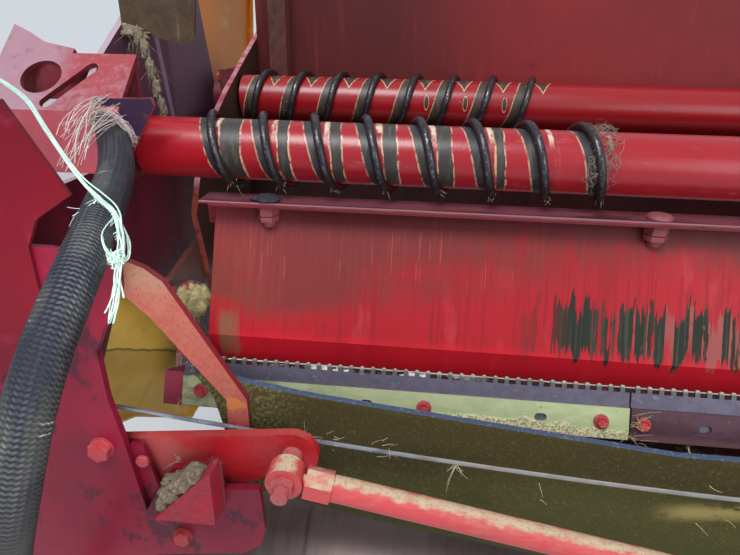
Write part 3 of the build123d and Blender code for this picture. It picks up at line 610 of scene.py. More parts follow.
dress(roll.finish(0.24 + rubbed * 0.14 + cloud * 0.1), "front_roll")

# %% [markdown]
# On the rear roll the spiral leans the other way.  The wear opens into small vees on top, and a few
# oval chips lie between the turns.  Each is a distance again, from a slope or from an ellipse.

# %% Rear roll
REAR_CREST = -732.0
REAR_Y, REAR_Z = 296.0, 26.0

roll = Finish("rear_roll_paint", "981019", gloss=0.5)
wobble = (roll.noise(8.0, (1, 3, 3), detail=4.0) - 0.5) * 6.0
cloud = roll.noise(70.0, detail=4.0)
roll.coat(cloud.rise(0.4, 0.7) * 0.4, "8c141c")
near_coil, number, angle = wound(roll, REAR_Y, REAR_Z, REAR_CREST, -PITCH)
notch, count, _ = wound(roll, REAR_Y, REAR_Z, REAR_CREST + 14.0, 0.0)
worn = near_coil + wobble * 0.4
bare = worn.between(-17.0, -1.0, 0.6) * only(number)
rim = (worn + 17.8).size().rise(1.2, 0.6) * only(number)
slope = (notch + wobble * 0.4).size() - (0.13 - angle) * 104.0
vee = slope.rise(0.6, -0.6) * only(count) * angle.rise(-0.2, -0.12)
vee_rim = (slope - 1.0).size().rise(1.2, 0.5) * only(count) * angle.rise(-0.2, -0.12)
chip_row, order, _ = wound(roll, REAR_Y, REAR_Z, REAR_CREST + 17.0, 0.0)
across = chip_row / 3.2
round_by = (angle - 0.23) / 0.045
oval = across * across + round_by * round_by
oval_rows = order.between(0.45, 0.8, 0.02)
roll.coat((bare + vee + oval.rise(1.1, 0.9) * oval_rows).least(1.0), "40322a")
roll.coat((bare + vee).least(1.0) * roll.noise(5.0, (1, 5, 5), detail=5.0).rise(0.5, 0.7) * 0.6,
          "6c5c4c")
rims = rim * 0.7 + vee_rim + (oval - 1.25).size().rise(0.3, 0.1) * oval_rows
roll.coat(rims.least(1.0) * roll.noise(8.0, seed=2.0).rise(0.3, 0.48), "cfa880")
specks = roll.noise(2.4, detail=2.0, seed=6.0) * 0.6 + roll.noise(30.0, seed=1.0) * 0.4
roll.coat(specks.rise(0.67, 0.69), "d89a8a")
roll.raise_by(roll.noise(3.0, detail=4.0) * 0.4 - bare * 0.6)
dress(roll.finish(0.26 + bare * 0.14 + cloud * 0.1), "rear_roll")


# %% [markdown]
# The spirals are round rod, bent to a helix and welded on.  Net polishes their crest, while paint
# and dust stay in the corner against the tube, so the finish reads the distance from the axis.

# %% Spirals
def spiral_finish(name, y, z):
    """Rod worn bright on its crest, with red left in the corner against the roll and dust below."""
    make = Finish(name, "1e1a1c", gloss=0.5)
    out = make.y - y
    up = make.z - z
    distance = out.math("SQRT", out * out + up * up)
    grain = make.noise(3.5, detail=5.0, rough=0.7)
    mottled = make.noise(24.0, detail=3.0, seed=3.0)
    make.coat(distance.rise(41.0, 37.0) * mottled.rise(0.42, 0.55) * 0.8, "7a1a24")
    make.coat(distance.rise(42.0, 45.0) * (0.3 + grain * 0.5), "4c484c")
    make.coat(grain.rise(0.6, 0.7) * mottled.rise(0.4, 0.6) * 0.5, "6c5c44")
    make.coat(distance.rise(44.0, 45.0) * grain.rise(0.52, 0.62) * 0.6, "8c8488")
    make.raise_by(grain * 0.7)
    return make.finish(0.24 + grain * 0.14, metal=distance.rise(42.0, 45.0) * 0.7, depth=0.4)


dress(spiral_finish("front_spiral_steel", 0.0, 0.0), "front_roll_spirals")
dress(spiral_finish("rear_spiral_steel", REAR_Y, REAR_Z), "rear_roll_spirals")

# %% [markdown]
# The smooth roll below is bare steel under a brown film of crop juice.  Noise squeezed along X
# gives the streaks that run round it, and a partly metallic surface keeps a soft gleam.

# %% Floor roll
drum = Finish("floor_roll_steel", "7c6a66")
streaks = drum.noise(60.0, (0.25, 3, 3), detail=6.0, rough=0.65)
clouds = drum.noise(160.0, detail=3.0)
drum.coat(streaks.rise(0.4, 0.62) * 0.5, "5c4a46")
drum.coat(clouds.rise(0.42, 0.62) * 0.5, "93827e")
drum.coat(streaks.rise(0.62, 0.7) * 0.5, "4a2a28")
drum.raise_by(streaks * 0.8)
dress(drum.finish(0.38 + streaks * 0.2, metal=0.45), "floor_roll")

# %% [markdown]
# ## Guide panel and rail
#
# The net slides down the panel's face.  It has streaked the paint brown-red above and rubbed it
# bright below, and where the net's edge knots run it has broken through to green-black steel.
# The streaks are noise stretched down the slope, and the distance down is worked out from Z.

# %% Guide panel
PANEL_TOP = -56.0
SLOPE = math.cos(math.radians(24.0))
LIP_START = 168.0
SCARS = [0.2, 1, 1, 0.8, 0.5, 0.9, 0.5, 0.1, 1, 0.9, 0.8, 0.4, 0.5, 0, 0.8, 0.2, 0.7, 0.5, 0.1,
         0.6, 0.2, 0.5, 0, 0.4, 0.6, 0, 0.3, 0, 0.4, 0]     # share of bare steel in each step
SCARS_LEFT, SCARS_STEP = 320.0, 10.0    # where they start, left of the middle, and one step

panel = Finish("guide_panel_paint", "7c2e2c", gloss=0.2)
down = (PANEL_TOP - panel.z) / SLOPE
streak = panel.noise(4.5, (1, 34, 34), detail=4.0, rough=0.6)
broad = panel.noise(26.0, (1, 4, 4), detail=4.0, seed=2.0)
patches = panel.noise(120.0, (1.6, 1, 1), detail=4.0, seed=5.0)
panel.coat(patches.rise(0.42, 0.6) * 0.5, "6c2a26")
panel.coat(streak.rise(0.5, 0.64) * 0.32, "6c2826")
panel.coat(streak.rise(0.46, 0.36) * 0.22, "9c4442")
left_cloud = panel.x.rise(-500.0, -640.0) * down.between(56.0, 150.0, 30.0)
panel.coat(left_cloud * patches.rise(0.36, 0.56) * 0.55, "704434")
# Painted shade: darker near the panel's top, under the rail.
panel.coat((down + (patches - 0.5) * 60.0).rise(58.0, 8.0) * 0.5, "5a2430")
edge = down + panel.x.rise(-720.0, -420.0) * 70.0 + (streak - 0.5) * 90.0 + (patches - 0.5) * 210.0
bright = panel.coat(edge.rise(104.0, 172.0), "ac1e28")
panel.coat(bright * streak.rise(0.5, 0.62) * 0.45, "7c1c24")
panel.coat(bright * broad.rise(0.56, 0.7) * 0.35, "c84850")
panel.coat((down + (broad - 0.5) * 20.0).rise(LIP_START - 14.0, LIP_START + 2.0) * 0.7, "cc1c2a")

# %% [markdown]
# Just left of the panel's middle the net has worn columns of bare steel, of uneven length, inside a
# greyed patch.  How much steel shows across the panel is a row of shares, one for each step.

# %% Scars and scratches on the panel
scarred = panel.x.between(-330.0, 60.0, 40.0)
column = panel.noise(8.0, (1, 60, 60), detail=2.0, seed=8.0)
reach = panel.noise(13.0, (1, 60, 60), detail=2.0, seed=3.0)
ragged = panel.noise(3.0, (1, 9, 9), detail=3.0, rough=0.6, seed=9.0)
scar_zone = (down + (reach - 0.5) * 90.0 + (ragged - 0.5) * 60.0).between(106.0, 160.0, 3.0)
greyed = scarred * panel.x.rise(-260.0, -180.0) * scar_zone * broad.rise(0.36, 0.5)
grey = panel.coat(greyed * 0.6, "8c6058")
share = ((panel.x + SCARS_LEFT) / (SCARS_STEP * len(SCARS))).lookup(SCARS)
scars = (column * 0.75 + ragged * 0.25 + share * 0.24).rise(0.585, 0.60) * scar_zone * scarred
panel.coat(scars, "24281f")
panel.coat(scars * streak.rise(0.5, 0.7) * 0.4, "5a5a48")
stain = (panel.x + 698.0 + (streak - 0.5) * 20.0).size().rise(16.0, 7.0)
stain = stain * down.between(140.0, 200.0, 10.0)
panel.coat(stain * streak.rise(0.3, 0.5) * 0.8, "7c5c44")
scratch = panel.noise(2.2, (1, 34, 34), detail=2.0, rough=0.4, seed=20.0, warp=0.8)
scratched = down.between(34.0, 96.0, 14.0) * panel.x.rise(-300.0, -420.0)
panel.coat(scratch.rise(0.64, 0.70) * scratched * 0.45, "c05a54")
panel.marks("3c1418", 0.7, 0.76, 0.78, 1.8, detail=1.0, seed=7.0)
panel.raise_by(streak * 0.5 - scars * 0.8)
dress(panel.finish(0.34 + streak * 0.2 + grey * 0.2), "guide_panel")

# %% [markdown]
# The rail is a strip folded along the panel's top.  Its flange collects grime at the back and has a
# pale painted highlight along the front edge, so Z finds the flange and Y says how far back a point
# lies.

# %% Guide rail
rail, rough = paint("guide_rail_paint", "8c2c38", "5c1a24", dust="b88088", cloud=50,
                    stretch=(3, 1, 1), dusting=0.4, chipping=0.14, chip="2a1a1c")
flange = rail.z.rise(-54.5, -53.5)
grime = rail.noise(34.0, (2.5, 1, 1), detail=5.0, seed=3.0)
rail.coat(flange * 0.85, "6e3c46")
rail.coat(flange * (rail.y * -1.0 + (grime - 0.5) * 30.0).rise(30.0, 35.0) * 0.8, "3c2024")
rail.coat(flange * grime.rise(0.5, 0.62) * 0.7, "3a2226")
# Painted highlight: a pale line along the flange's front edge.
rail.coat(flange * (rail.y * -1.0).rise(36.5, 38.5) * 0.6, "c08890")
dress(rail.finish(rough), "guide_rail")

# %% [markdown]
# ## Back panel, plates and walls
#
# The big sheets behind the rolls are seen in shade.  Each has its own colour: the back panel is a
# deep red, darkened to the left by painted shade, the outer walls have faded to plum, and the
# shields outside them are yellow, going orange towards the top.

# %% Back panel, channels and chute
back = Finish("back_panel_paint", "861c1e")
clouds = back.noise(240.0, detail=5.0)
# Painted shade: the back panel darkens towards the left.
back.coat(back.x.rise(-260.0, -600.0) * 0.9, "3e0f0e")
back.coat(clouds.rise(0.42, 0.64) * 0.45, "5e1214")
back.marks("a04038", 0.2, 0.55, 0.75, 12.0, (1, 1, 12), detail=4.0)
back.marks("2a0c0c", 0.25, 0.66, 0.7, 30.0, detail=5.0, seed=4.0)
back.raise_by(clouds)
dress(back.finish(0.5 + clouds * 0.1), "back_panel")

channel, rough = paint("channel_paint", "5a2c2c", "3a2018", dust="7a6048", cloud=40,
                       stretch=(1, 1, 4), dusting=0.6, chipping=0.16, chip="241816")
channel.coat(channel.out_x.size().rise(0.5, 0.9) * 0.5, "8c4a44")
dress(channel.finish(rough), "back_channels")
dress(plain_paint("beam_paint", "7c161a", "521014", "8a5a50", cloud=160), "cross_beam")
dress(plain_paint("chute_paint", "240a0c", "160708", "2c1816", cloud=120, stretch=(1, 3, 3),
                  dusting=0.5, gloss=0.05), "net_chute")

# %% [markdown]
# The side plates carry the rolls and have rusted low down, and their cut edges still show pink
# paint.  The outer walls are plum above and deep red below, with noise to break the line.

# %% Side plates and walls
side, rough = paint("side_plate_paint", "4a2c26", "2e1c18", dust="7a624e", cloud=50, dusting=0.6,
                    chipping=0.12, chip="1e1412")
edge = side.out_x.size().rise(0.6, 0.3)
side.coat(edge, "a84858")
side.coat(edge * side.noise(26.0, detail=5.0, seed=3.0).rise(0.42, 0.6) * 0.7, "c89298")
rusted = side.z.rise(-62.0, -84.0)
side.coat(edge * rusted * 0.9, "93402c")
side.coat(edge * rusted * side.noise(18.0, detail=5.0).rise(0.5, 0.6) * 0.7, "4c2c20")
dress(side.finish(rough), *pair("side_plate"))

wall, rough = paint("wall_paint", "6a4454", "54303f", dust="8c6a74", cloud=90, dusting=0.4,
                    chipping=0.07, chip="38202c", gloss=0.15)
lower = (wall.z + (wall.noise(60.0, detail=3.0) - 0.5) * 30.0).rise(8.0, -34.0)
wall.coat(lower * 0.95, "661426")
wall.coat(lower * wall.noise(80.0, (1, 1, 3), detail=4.0, seed=6.0).rise(0.45, 0.62) * 0.7,
          "35101a")
wall.coat(wall.y.between(176.0, 238.0, 16.0) * lower * 0.5, "4c3c3c")
strip = (wall.y - 170.0 + wall.z * 0.22).size().rise(7.0, 5.0) * wall.z.rise(-6.0, 4.0)
wall.coat(strip * 0.8, "9c8ca4")
wall.coat(wall.y.rise(176.0, 184.0) * wall.z.rise(0.0, 10.0) * 0.35, "86707c")
wall.coat(wall.out_x.size().rise(0.6, 0.3) * 0.8, "c0a8ae")
dress(wall.finish(rough), *pair("outer_wall"))

# %% [markdown]
# The yellow shields are thin sheet with one shallow fold.  The fold is a line across Y and Z, drawn
# as a dark line of painted shade with a painted shaded side and a step in the bump, and the yellow
# turns orange towards the top.

# %% Side shields
shield = Finish("shield_paint", "fccc58")
clouds = shield.noise(150.0, detail=4.0)
wash = shield.noise(40.0, (1, 2.5, 1), detail=5.0, seed=2.0)
shield.coat(clouds.rise(0.4, 0.62) * 0.3, "ecb444")
shield.coat((shield.y * 0.5 + shield.z).rise(120.0, 220.0), "ee8a22")
fold = shield.z + shield.y * 0.62 + 292.0 + (wash - 0.5) * 20.0
# Painted shade on one side of the fold.
shield.coat(fold.rise(2.0, -4.0) * fold.rise(-60.0, -20.0) * 0.5, "b88a28")
# Painted shade: a dark line along the fold.
shield.coat(fold.size().rise(3.0, 1.0) * 0.75, "6a4a18")
shield.coat(wash.rise(0.56, 0.7) * 0.3, "c89c48")
shield.coat(wash.rise(0.44, 0.3) * 0.3, "ecd080")
shield.raise_by(fold.rise(3.0, -3.0) * 2.0 + wash * 0.5)
dress(shield.finish(0.42 + wash * 0.15, depth=0.5), *pair("side_shield"))

# %% [markdown]
# The posts and covers face outwards and keep the deepest red.  Flakes of paint have come off the
# posts in blots a few centimetres across, which coarse noise with a sharp edge gives.

# %% Posts, covers and gusset
post, rough = paint("post_paint", "860e2c", "660c26", dust="98384c", cloud=60, dusting=0.25,
                    chipping=0.0)
post.coat(post.z.rise(-330.0, -420.0) * 0.6, "94203a")
flakes = post.noise(44.0, (1, 1, 1.6), detail=6.0, rough=0.65, seed=5.0)
flake = post.coat(flakes.rise(0.55, 0.62) * 0.75, "3a1628")
post.marks("4c1426", 0.5, 0.66, 0.7, 9.0, (0.5, 1, 3), detail=4.0, seed=9.0)
post.raise_by(flake * -0.5)
dress(post.finish(rough, depth=0.5), *pair("post"))

cover = Finish("cover_paint", "740a1c", gloss=0.25)
sheen = cover.noise(140.0, detail=3.0)
cover.coat(sheen.rise(0.4, 0.62) * 0.5, "5a0c1e")
cover.marks("a8344c", 0.25, 0.56, 0.7, 30.0, detail=5.0, seed=3.0)
# Painted shade: the faces that don't look to the front or back are darker.
cover.coat(cover.out_y.size().rise(0.6, 0.3) * 0.5, "5a2028")
cover.raise_by(sheen)
dress(cover.finish(0.34 + sheen * 0.15), *pair("front_cover"))
dress(plain_paint("gusset_paint", "a81c30", "7c1428", "c07a7c", cloud=30, dusting=0.4,
                  chipping=0.14), "foot_gusset_left")

# %% [markdown]
# The bracket at the roll's end faces up, so sun and dust have turned it pink.  Its folded front
# has a pale edge with a dark line behind it, and each is picked out by its place in Y.

# %% Roll brackets
bracket, rough = paint("bracket_paint", "a03c42", "822c36", dust="b8949a", cloud=60, dusting=0.6,
                       chipping=0.06, chip="4a2430", seed=2.0)
outboard = bracket.x.size().rise(858.0, 905.0)
fronts = bracket.out_y.rise(-0.8, -0.95)
bracket.coat(outboard * bracket.out_z.rise(0.4, 0.7) * 0.6, "a8909e")
bracket.coat(fronts * bracket.y.rise(-63.0, -65.5) * 0.6, "c85a66")
bracket.coat(fronts * bracket.y.between(-61.0, -59.0, 0.4), "38243c")
bracket.coat(bracket.y.rise(-59.0, -55.0) * bracket.out_z.rise(0.3, -0.1) * 0.75, "64141c")
bracket.marks("7c4a40", 0.35, 0.6, 0.68, 20.0, detail=6.0, seed=8.0)
dress(bracket.finish(rough), *pair("roll_bracket"))

# %% [markdown]
# ## Bare and dusty fittings
#
# The dust plate over the roll's end, the bearings, hangers and the angle bar behind the apron are
# seldom cleaned.  Their paint hides under a brown felt of dust and chaff.

# %% Dust plate, bearings, hangers and bar
plate = Finish("dust_plate_finish", "54402f")
felt = plate.noise(22.0, detail=7.0, rough=0.7)
streak = plate.noise(14.0, (1, 1, 3), detail=5.0, seed=4.0)
plate.coat(felt.rise(0.42, 0.62) * 0.6, "3a2a20")
plate.coat(streak.rise(0.55, 0.7) * 0.6, "7c664e")
plate.coat(plate.out_z.rise(-0.3, -0.8) * 0.9, "c8b490")
plate.coat(felt.rise(0.68, 0.74) * 0.5, "8c2a28")
plate.raise_by(felt * 3.0)
dress(plate.finish(0.85, depth=0.8), *pair("dust_plate"))

dress(plain_paint("bearing_paint", "6c1a20", "48141a", "8a6a58", cloud=26, dusting=0.6, depth=0.6),
      *pair("front_bearing"), *pair("rear_bearing"), *pair("floor_bearing"))
dress(plain_paint("hanger_paint", "6a3430", "4a2420", "8a7460", cloud=34, dusting=0.7,
                  chipping=0.14, chip="8a4420"), *pair("knife_hanger"))
dress(plain_paint("idler_paint", "94202a", "6a1820", "a87a6c", cloud=50, dusting=0.4),
      "idler_hanger")

bar = Finish("apron_bar_finish", "5c1c1e")
chaff = bar.noise(5.0, (1.6, 1, 1), detail=5.0, rough=0.7)
heap = bar.noise(38.0, (2, 1, 1), detail=3.0, seed=3.0)
bar.coat(chaff.rise(0.45, 0.62) * 0.8, "6e3418")
bar.coat(chaff.rise(0.58, 0.66) * heap.rise(0.42, 0.52), "c8b084")
bar.coat(chaff.rise(0.40, 0.34) * 0.7, "22120e")
bar.raise_by(chaff * 3.0)
dress(bar.finish(0.8, depth=1.0), "apron_bar")

# %% [markdown]
# The bent braces are gritty, and rusty where hay rubs them, and their side faces are darkened to
# dark red as painted shade.  The rust is a band of height with a noise mask over the same
# groundwork.

# %% Braces
brace, rough = paint("brace_paint", "b05648", "98443a", dust="cc9480", cloud=50, shading=0.5,
                     dusting=0.5, chipping=0.0)
grit = brace.noise(2.6, detail=3.0, rough=0.6, seed=4.0)
brace.coat(brace.z.rise(-118.0, -84.0) * 0.7, "a8846c")
brace.coat(grit.rise(0.6, 0.66) * 0.7, "7c3c38")
rust = brace.noise(26.0, detail=5.0, seed=6.0)
brace.coat(rust.rise(0.52, 0.62) * brace.z.between(-262.0, -205.0, 14.0) * 0.7, "cf7c34")
brace.coat(brace.z.rise(-236.0, -262.0) * 0.55, "bc3c3c")
# Painted shade: the faces that don't look to the front or back are dark red.
brace.coat(brace.out_y.size().rise(0.6, 0.3) * 0.9, "7a1024")
brace.raise_by(grit)
dress(brace.finish(rough + 0.1), *pair("brace"))

# %% [markdown]
# ## Trip linkage
#
# The cranks and the rod were painted last and have kept a bright red.  Fine cream dust lies along
# the top of the rod, so it is masked by how far the surface faces up.

# %% Cranks, studs and rod
crank, rough = paint("crank_paint", "b81820", "84141c", dust="c06c68", cloud=50, shading=0.45,
                     dusting=0.3, chipping=0.1, chip="4a1418")
glare_and_grime_haze = crank.noise(34.0, (1.5, 1, 1), detail=5.0, seed=5.0)
# Painted glare: a pale haze over the near crank.
crank.coat(crank.x.between(-752.0, -690.0, 22.0) * glare_and_grime_haze.rise(0.36, 0.58) * 0.4, "a8706a")
# Darker and browner below, as grime.
crank.coat((crank.z * -1.0 - 284.0).rise(0.0, 22.0) * glare_and_grime_haze.rise(0.45, 0.6) * 0.5, "6a2c2a")
# Painted highlight: the faces that look up are lighter.
crank.coat(crank.out_z.rise(0.4, 0.9) * 0.3, "c05c54")
dress(crank.finish(rough), "crank_near", "crank_far")

rod, rough = paint("rod_paint", "cc4a4c", "a83238", dust="d89a8c", cloud=36, stretch=(4, 1, 1),
                   shading=0.4, dusting=0.4, chipping=0.04, chip="7c2a28")
settled = (rod.out_z + (rod.noise(7.0, (2, 1, 1), detail=5.0) - 0.5) * 0.7).rise(0.72, 1.0)
rod.coat(settled * 0.9, "cbb694")
rod.coat(settled * rod.noise(3.0, detail=4.0, seed=4.0).rise(0.52, 0.66) * 0.6, "8c7c5c")
dress(rod.finish(rough + settled * 0.3), "link_rod")
dress(plain_paint("stud_paint", "b04c50", "8c343a", "c89c90", cloud=16, dusting=0.8, depth=0.5),
      "crank_stud_near", "crank_stud_far")

# %% [markdown]
# ## Knife
#
# The blade is bare steel with a lilac cast and pale tips, with painted shade between the teeth, and
# a strip clamps each length of it.
# They all lie on the tube's tilted face, so the height up that face is worked out once.

# %% Blade
KNIFE_Y, KNIFE_Z = -118.0, -262.2
TILT = math.radians(24.0)


def up_face(make):
    return (make.y - KNIFE_Y) * math.sin(TILT) + (make.z - KNIFE_Z) * math.cos(TILT)


blade = Finish("blade_steel", "655e6e")
grain = blade.noise(12.0, (1.5, 1, 1), detail=6.0, rough=0.7)
tip = up_face(blade)
blade.coat(grain.rise(0.45, 0.62) * 0.6, "4c4856")
blade.coat(grain.rise(0.56, 0.7) * 0.6, "8c869a")
blade.coat(tip.rise(33.0, 36.0) * 0.8, "5a5c50")
blade.coat((tip + (grain - 0.5) * 8.0).rise(38.0, 41.5) * 0.8, "c0bca4")
blade.marks("7a4a38", 0.5, 0.62, 0.68, 6.0, detail=4.0, seed=3.0)
# Painted shade: the tops between the teeth are dark red, as the shaded lip behind them.
gap_painted_shade = tip.between(32.5, 35.5, 0.3) * blade.out_z.rise(0.6, 0.8)
blade.coat(gap_painted_shade * 0.85, "4a141c")
blade.raise_by(grain * 1.0)
dress(blade.finish(0.42 + grain * 0.2, metal=0.5), "blade_left", "blade_middle", "blade_right")

# %% [markdown]
# The left strip is zinc plated and dulled to a yellow green.  Chaff packs along its lower edge in
# heaps, so a slow noise sets how far up it reaches and a fine one breaks it into crumbs.

# %% Zinc strip
zinc = Finish("zinc_finish", "b6bc90")
grain = zinc.noise(14.0, (2, 1, 1), detail=6.0, rough=0.65)
up = up_face(zinc)
crumbs = zinc.noise(2.6, detail=2.0, seed=4.0)
zinc.coat(grain.rise(0.4, 0.6) * 0.5, "a0a678")
zinc.coat(grain.rise(0.58, 0.7) * 0.6, "c2c8a4")
zinc.coat(zinc.x.rise(-520.0, -660.0) * grain.rise(0.4, 0.55) * 0.7, "7c7a66")
heap = zinc.noise(60.0, detail=3.0, seed=6.0)
chaffed = (up * -1.0 + (heap - 0.5) * 52.0 - 3.0).rise(0.0, 6.0)
chaffed = chaffed * zinc.x.between(-560.0, -236.0, 26.0)
packed = zinc.coat(chaffed * crumbs.rise(0.40, 0.5), "d4c49c")
zinc.coat(chaffed * crumbs.rise(0.40, 0.36) * 0.3, "7c6c4c")
zinc.marks("4c4a34", 0.6, 0.68, 0.72, 4.0, detail=3.0, seed=8.0)
zinc.raise_by(grain * 0.6 + packed * 2.5)
dress(zinc.finish(0.5 + packed * 0.35, metal=0.2, depth=0.6), "clamp_strip_left")

# %% [markdown]
# The other strips, the tube and the arms are painted dark.  They show only along their edges, so
# they need just a streaked grain, a grey band of painted sheen low on the strips and a pale end on
# the tube.

# %% Painted strips, tube and arms
strip = Finish("strip_finish", "44242e")
grain = strip.noise(16.0, (3, 1, 1), detail=6.0, rough=0.65)
strip.coat(grain.rise(0.42, 0.6) * 0.6, "5a3a44")
# Painted sheen: a grey band low on the strip's face.
strip.coat(up_face(strip).rise(-8.0, -16.0) * 0.7, "6a4a4c")
strip.coat(strip.out_z.rise(-0.5, -0.9) * 0.8, "7a1820")
strip.coat(strip.noise(3.0, detail=2.0, seed=4.0).rise(0.7, 0.73), "8c7468")
strip.raise_by(grain * 0.6)
dress(strip.finish(0.36 + grain * 0.25, metal=0.15), "clamp_strip_middle", "clamp_strip_right")

tube_paint, rough = paint("knife_tube_paint", "741218", "4c0c12", dust="8c4a3c", cloud=40,
                          dusting=0.3, chipping=0.14, chip="3a1a18", stretch=(2, 1, 1),
                          gloss=0.1)
tube_paint.coat(tube_paint.x.size().rise(738.0, 746.0) * 0.7, "a8485c")
dress(tube_paint.finish(rough), "knife_tube")
dress(plain_paint("knife_arm_paint", "8c2430", "4a1c20", "b8a898", cloud=26, dusting=0.8,
                  chipping=0.16), *pair("knife_arm"))

# %% [markdown]
# Chaff and scraps of net packed into the corner behind the teeth, along the tube, are made as a dark
# tube of painted shade, so the gaps between the teeth look dark, with a few clean white threads of
# net.

# %% Painted shade behind the teeth, with the look of packed chaff
MAT_UP, MAT_BACK, MAT_RADIUS, MAT_HALF = 29.0, 9.2, 8.8, 740.0
MAT_STEPS = 180

# Painted shade: near-black, with the grain of chaff and white threads of net at the left.
packed = Finish("chaff_shade_fill", "2c1216")
bits = packed.noise(5.0, (2, 1, 1), detail=5.0, rough=0.7)
net_bits = packed.noise(16.0, (2, 1, 1), detail=3.0, seed=6.0)
packed.coat(bits.rise(0.5, 0.62) * 0.6, "5c3a30")
packed.coat(bits.rise(0.42, 0.34) * 0.6, "120a0c")
packed.coat(packed.x.between(-610.0, -430.0, 60.0) * net_bits.rise(0.46, 0.52), "e4e0dc")
packed.raise_by(bits * 2.0)
mat = bmesh.new()
mat_y = KNIFE_Y + MAT_UP * math.sin(TILT) + MAT_BACK * math.cos(TILT)
mat_z = KNIFE_Z + MAT_UP * math.cos(TILT) - MAT_BACK * math.sin(TILT)
line = [place(-MAT_HALF + 2 * MAT_HALF * k / MAT_STEPS, mat_y, mat_z) for k in range(MAT_STEPS + 1)]
tube(mat, line, MAT_RADIUS / MM, sides=14,
     taper=lambda t: 0.9 + 0.1 * noise.noise(Vector((t * 60.0, 1.0, 4.0))))
new_piece("chaff_shade_fill", mat, "knife", packed.finish(0.85, depth=0.6))

# %% [markdown]
# ## Apron
#
# A sheet of rubber belting is clamped against the angle bar and hangs behind the rod.  Belting
# comes off a roll, so it never lies quite flat: it bellies a little away from the clamp, and its
# upper corners curl back.  Below the bar it bends back towards the floor roll.  It is made as a
# grid, column by column between the cut's top and low lines, then given its thickness.

# %% Apron belt
APRON_TOP = [(0.0, -253.6), (200.0, -253.6), (701.0, -200.0)]         # half of each line, as (x, z)
APRON_LOW = [(0.0, -444.0), (250.0, -444.0), (660.0, -345.0), (678.0, -228.0), (701.0, -203.0)]
APRON_FRONT, APRON_THICK = -178.0, 8.0
BEND_Z, BEND_RADIUS = -330.0, 260.0
CLAMP = (-328.0, -292.0)
FREE_REACH = 45.0           # from the clamp to where the belt hangs free
BELLY, WAVES = 2.4, 4.2
BELT_HALF = 701.0
COLUMNS, ROWS = 140, 26
CURL_FROM, CURL_WIDE, CURL_DEEP, CURL_BACK = 560.0, 110.0, 38.0, 9.0    # the upper corners
CUT_ROUND = 0.9


def level(line, x):
    """The line's height at x millimetres from the middle."""
    for (x0, z0), (x1, z1) in zip(line, line[1:]):
        if x <= x1:
            return z0 + (z1 - z0) * (x - x0) / (x1 - x0)
    return line[-1][1]


def belt_spot(x, z, inwards):
    """A place on the belt, that far in from its front face, and the same before it warped."""
    fall = max(BEND_Z - z, 0.0) / BEND_RADIUS
    out = Vector((0.0, -math.sqrt(1.0 - fall * fall), -fall))
    front = Vector((x, APRON_FRONT, z))
    if fall:
        front = Vector((x, APRON_FRONT + BEND_RADIUS, BEND_Z)) + out * BEND_RADIUS
    free = min(max(z - CLAMP[1], CLAMP[0] - z, 0.0) / FREE_REACH, 1.0)
    belly = BELLY + WAVES * noise.noise(Vector((x / 150.0, z / 110.0, 2.0)))
    top = level(APRON_TOP, abs(x))
    curl = min(max(abs(x) - CURL_FROM, 0.0) / CURL_WIDE, 1.0)
    curl = curl * max(z - top + CURL_DEEP, 0.0) / CURL_DEEP
    warped = front + out * (belly * free - inwards) + Vector((0.0, CURL_BACK * curl ** 2, 0.0))
    return place(*warped), place(*(front - out * inwards))


# %% [markdown]
# The grid's front and rear are joined round the cut, and the cut's edges are rounded a little, as
# a knife leaves them in rubber.  The flat area is summed on the way, before the belt is warped.

# %% Belt grid
belt = bmesh.new()
sides, flat_area = [], 0.0
for inwards in (0.0, APRON_THICK):
    grid, plain = [], []
    for k in range(COLUMNS + 1):
        x = -BELT_HALF + 2 * BELT_HALF * k / COLUMNS
        top, low = level(APRON_TOP, abs(x)), level(APRON_LOW, abs(x))
        spots = [belt_spot(x, top + (low - top) * m / ROWS, inwards) for m in range(ROWS + 1)]
        grid.append([belt.verts.new(warped) for warped, _ in spots])
        plain.append([unwarped for _, unwarped in spots])
    sides.append(grid)
    if not inwards:
        for left, right in zip(plain, plain[1:]):
            reach = (line_length(left) + line_length(right)) / 2
            flat_area += reach * 2 * BELT_HALF / MM / COLUMNS
front, rear = sides
for k in range(COLUMNS):
    for m in range(ROWS):
        for grid, order in ((front, (0, 1, 3, 2)), (rear, (0, 2, 3, 1))):
            corners = (grid[k][m], grid[k][m + 1], grid[k + 1][m], grid[k + 1][m + 1])
            belt.faces.new([corners[c] for c in order]).smooth = True
    for m in (0, ROWS):
        belt.faces.new((front[k][m], front[k + 1][m], rear[k + 1][m], rear[k][m]))
for k in (0, COLUMNS):
    for m in range(ROWS):
        belt.faces.new((front[k][m], front[k][m + 1], rear[k][m + 1], rear[k][m]))
bmesh.ops.recalc_face_normals(belt, faces=belt.faces)
cut = [edge for edge in belt.edges if edge.calc_face_angle() > 1.0]
bevel(belt, cut, CUT_ROUND)
print("flat area of the belt:", round(flat_area, 4), "rounded edges:", len(cut))

# %% [markdown]
# The belt's cut top edge, which faces up, is slate blue.  Dust has turned its face brown above the
# cable and olive below, and it is paler at the left end, where the net rubs it.

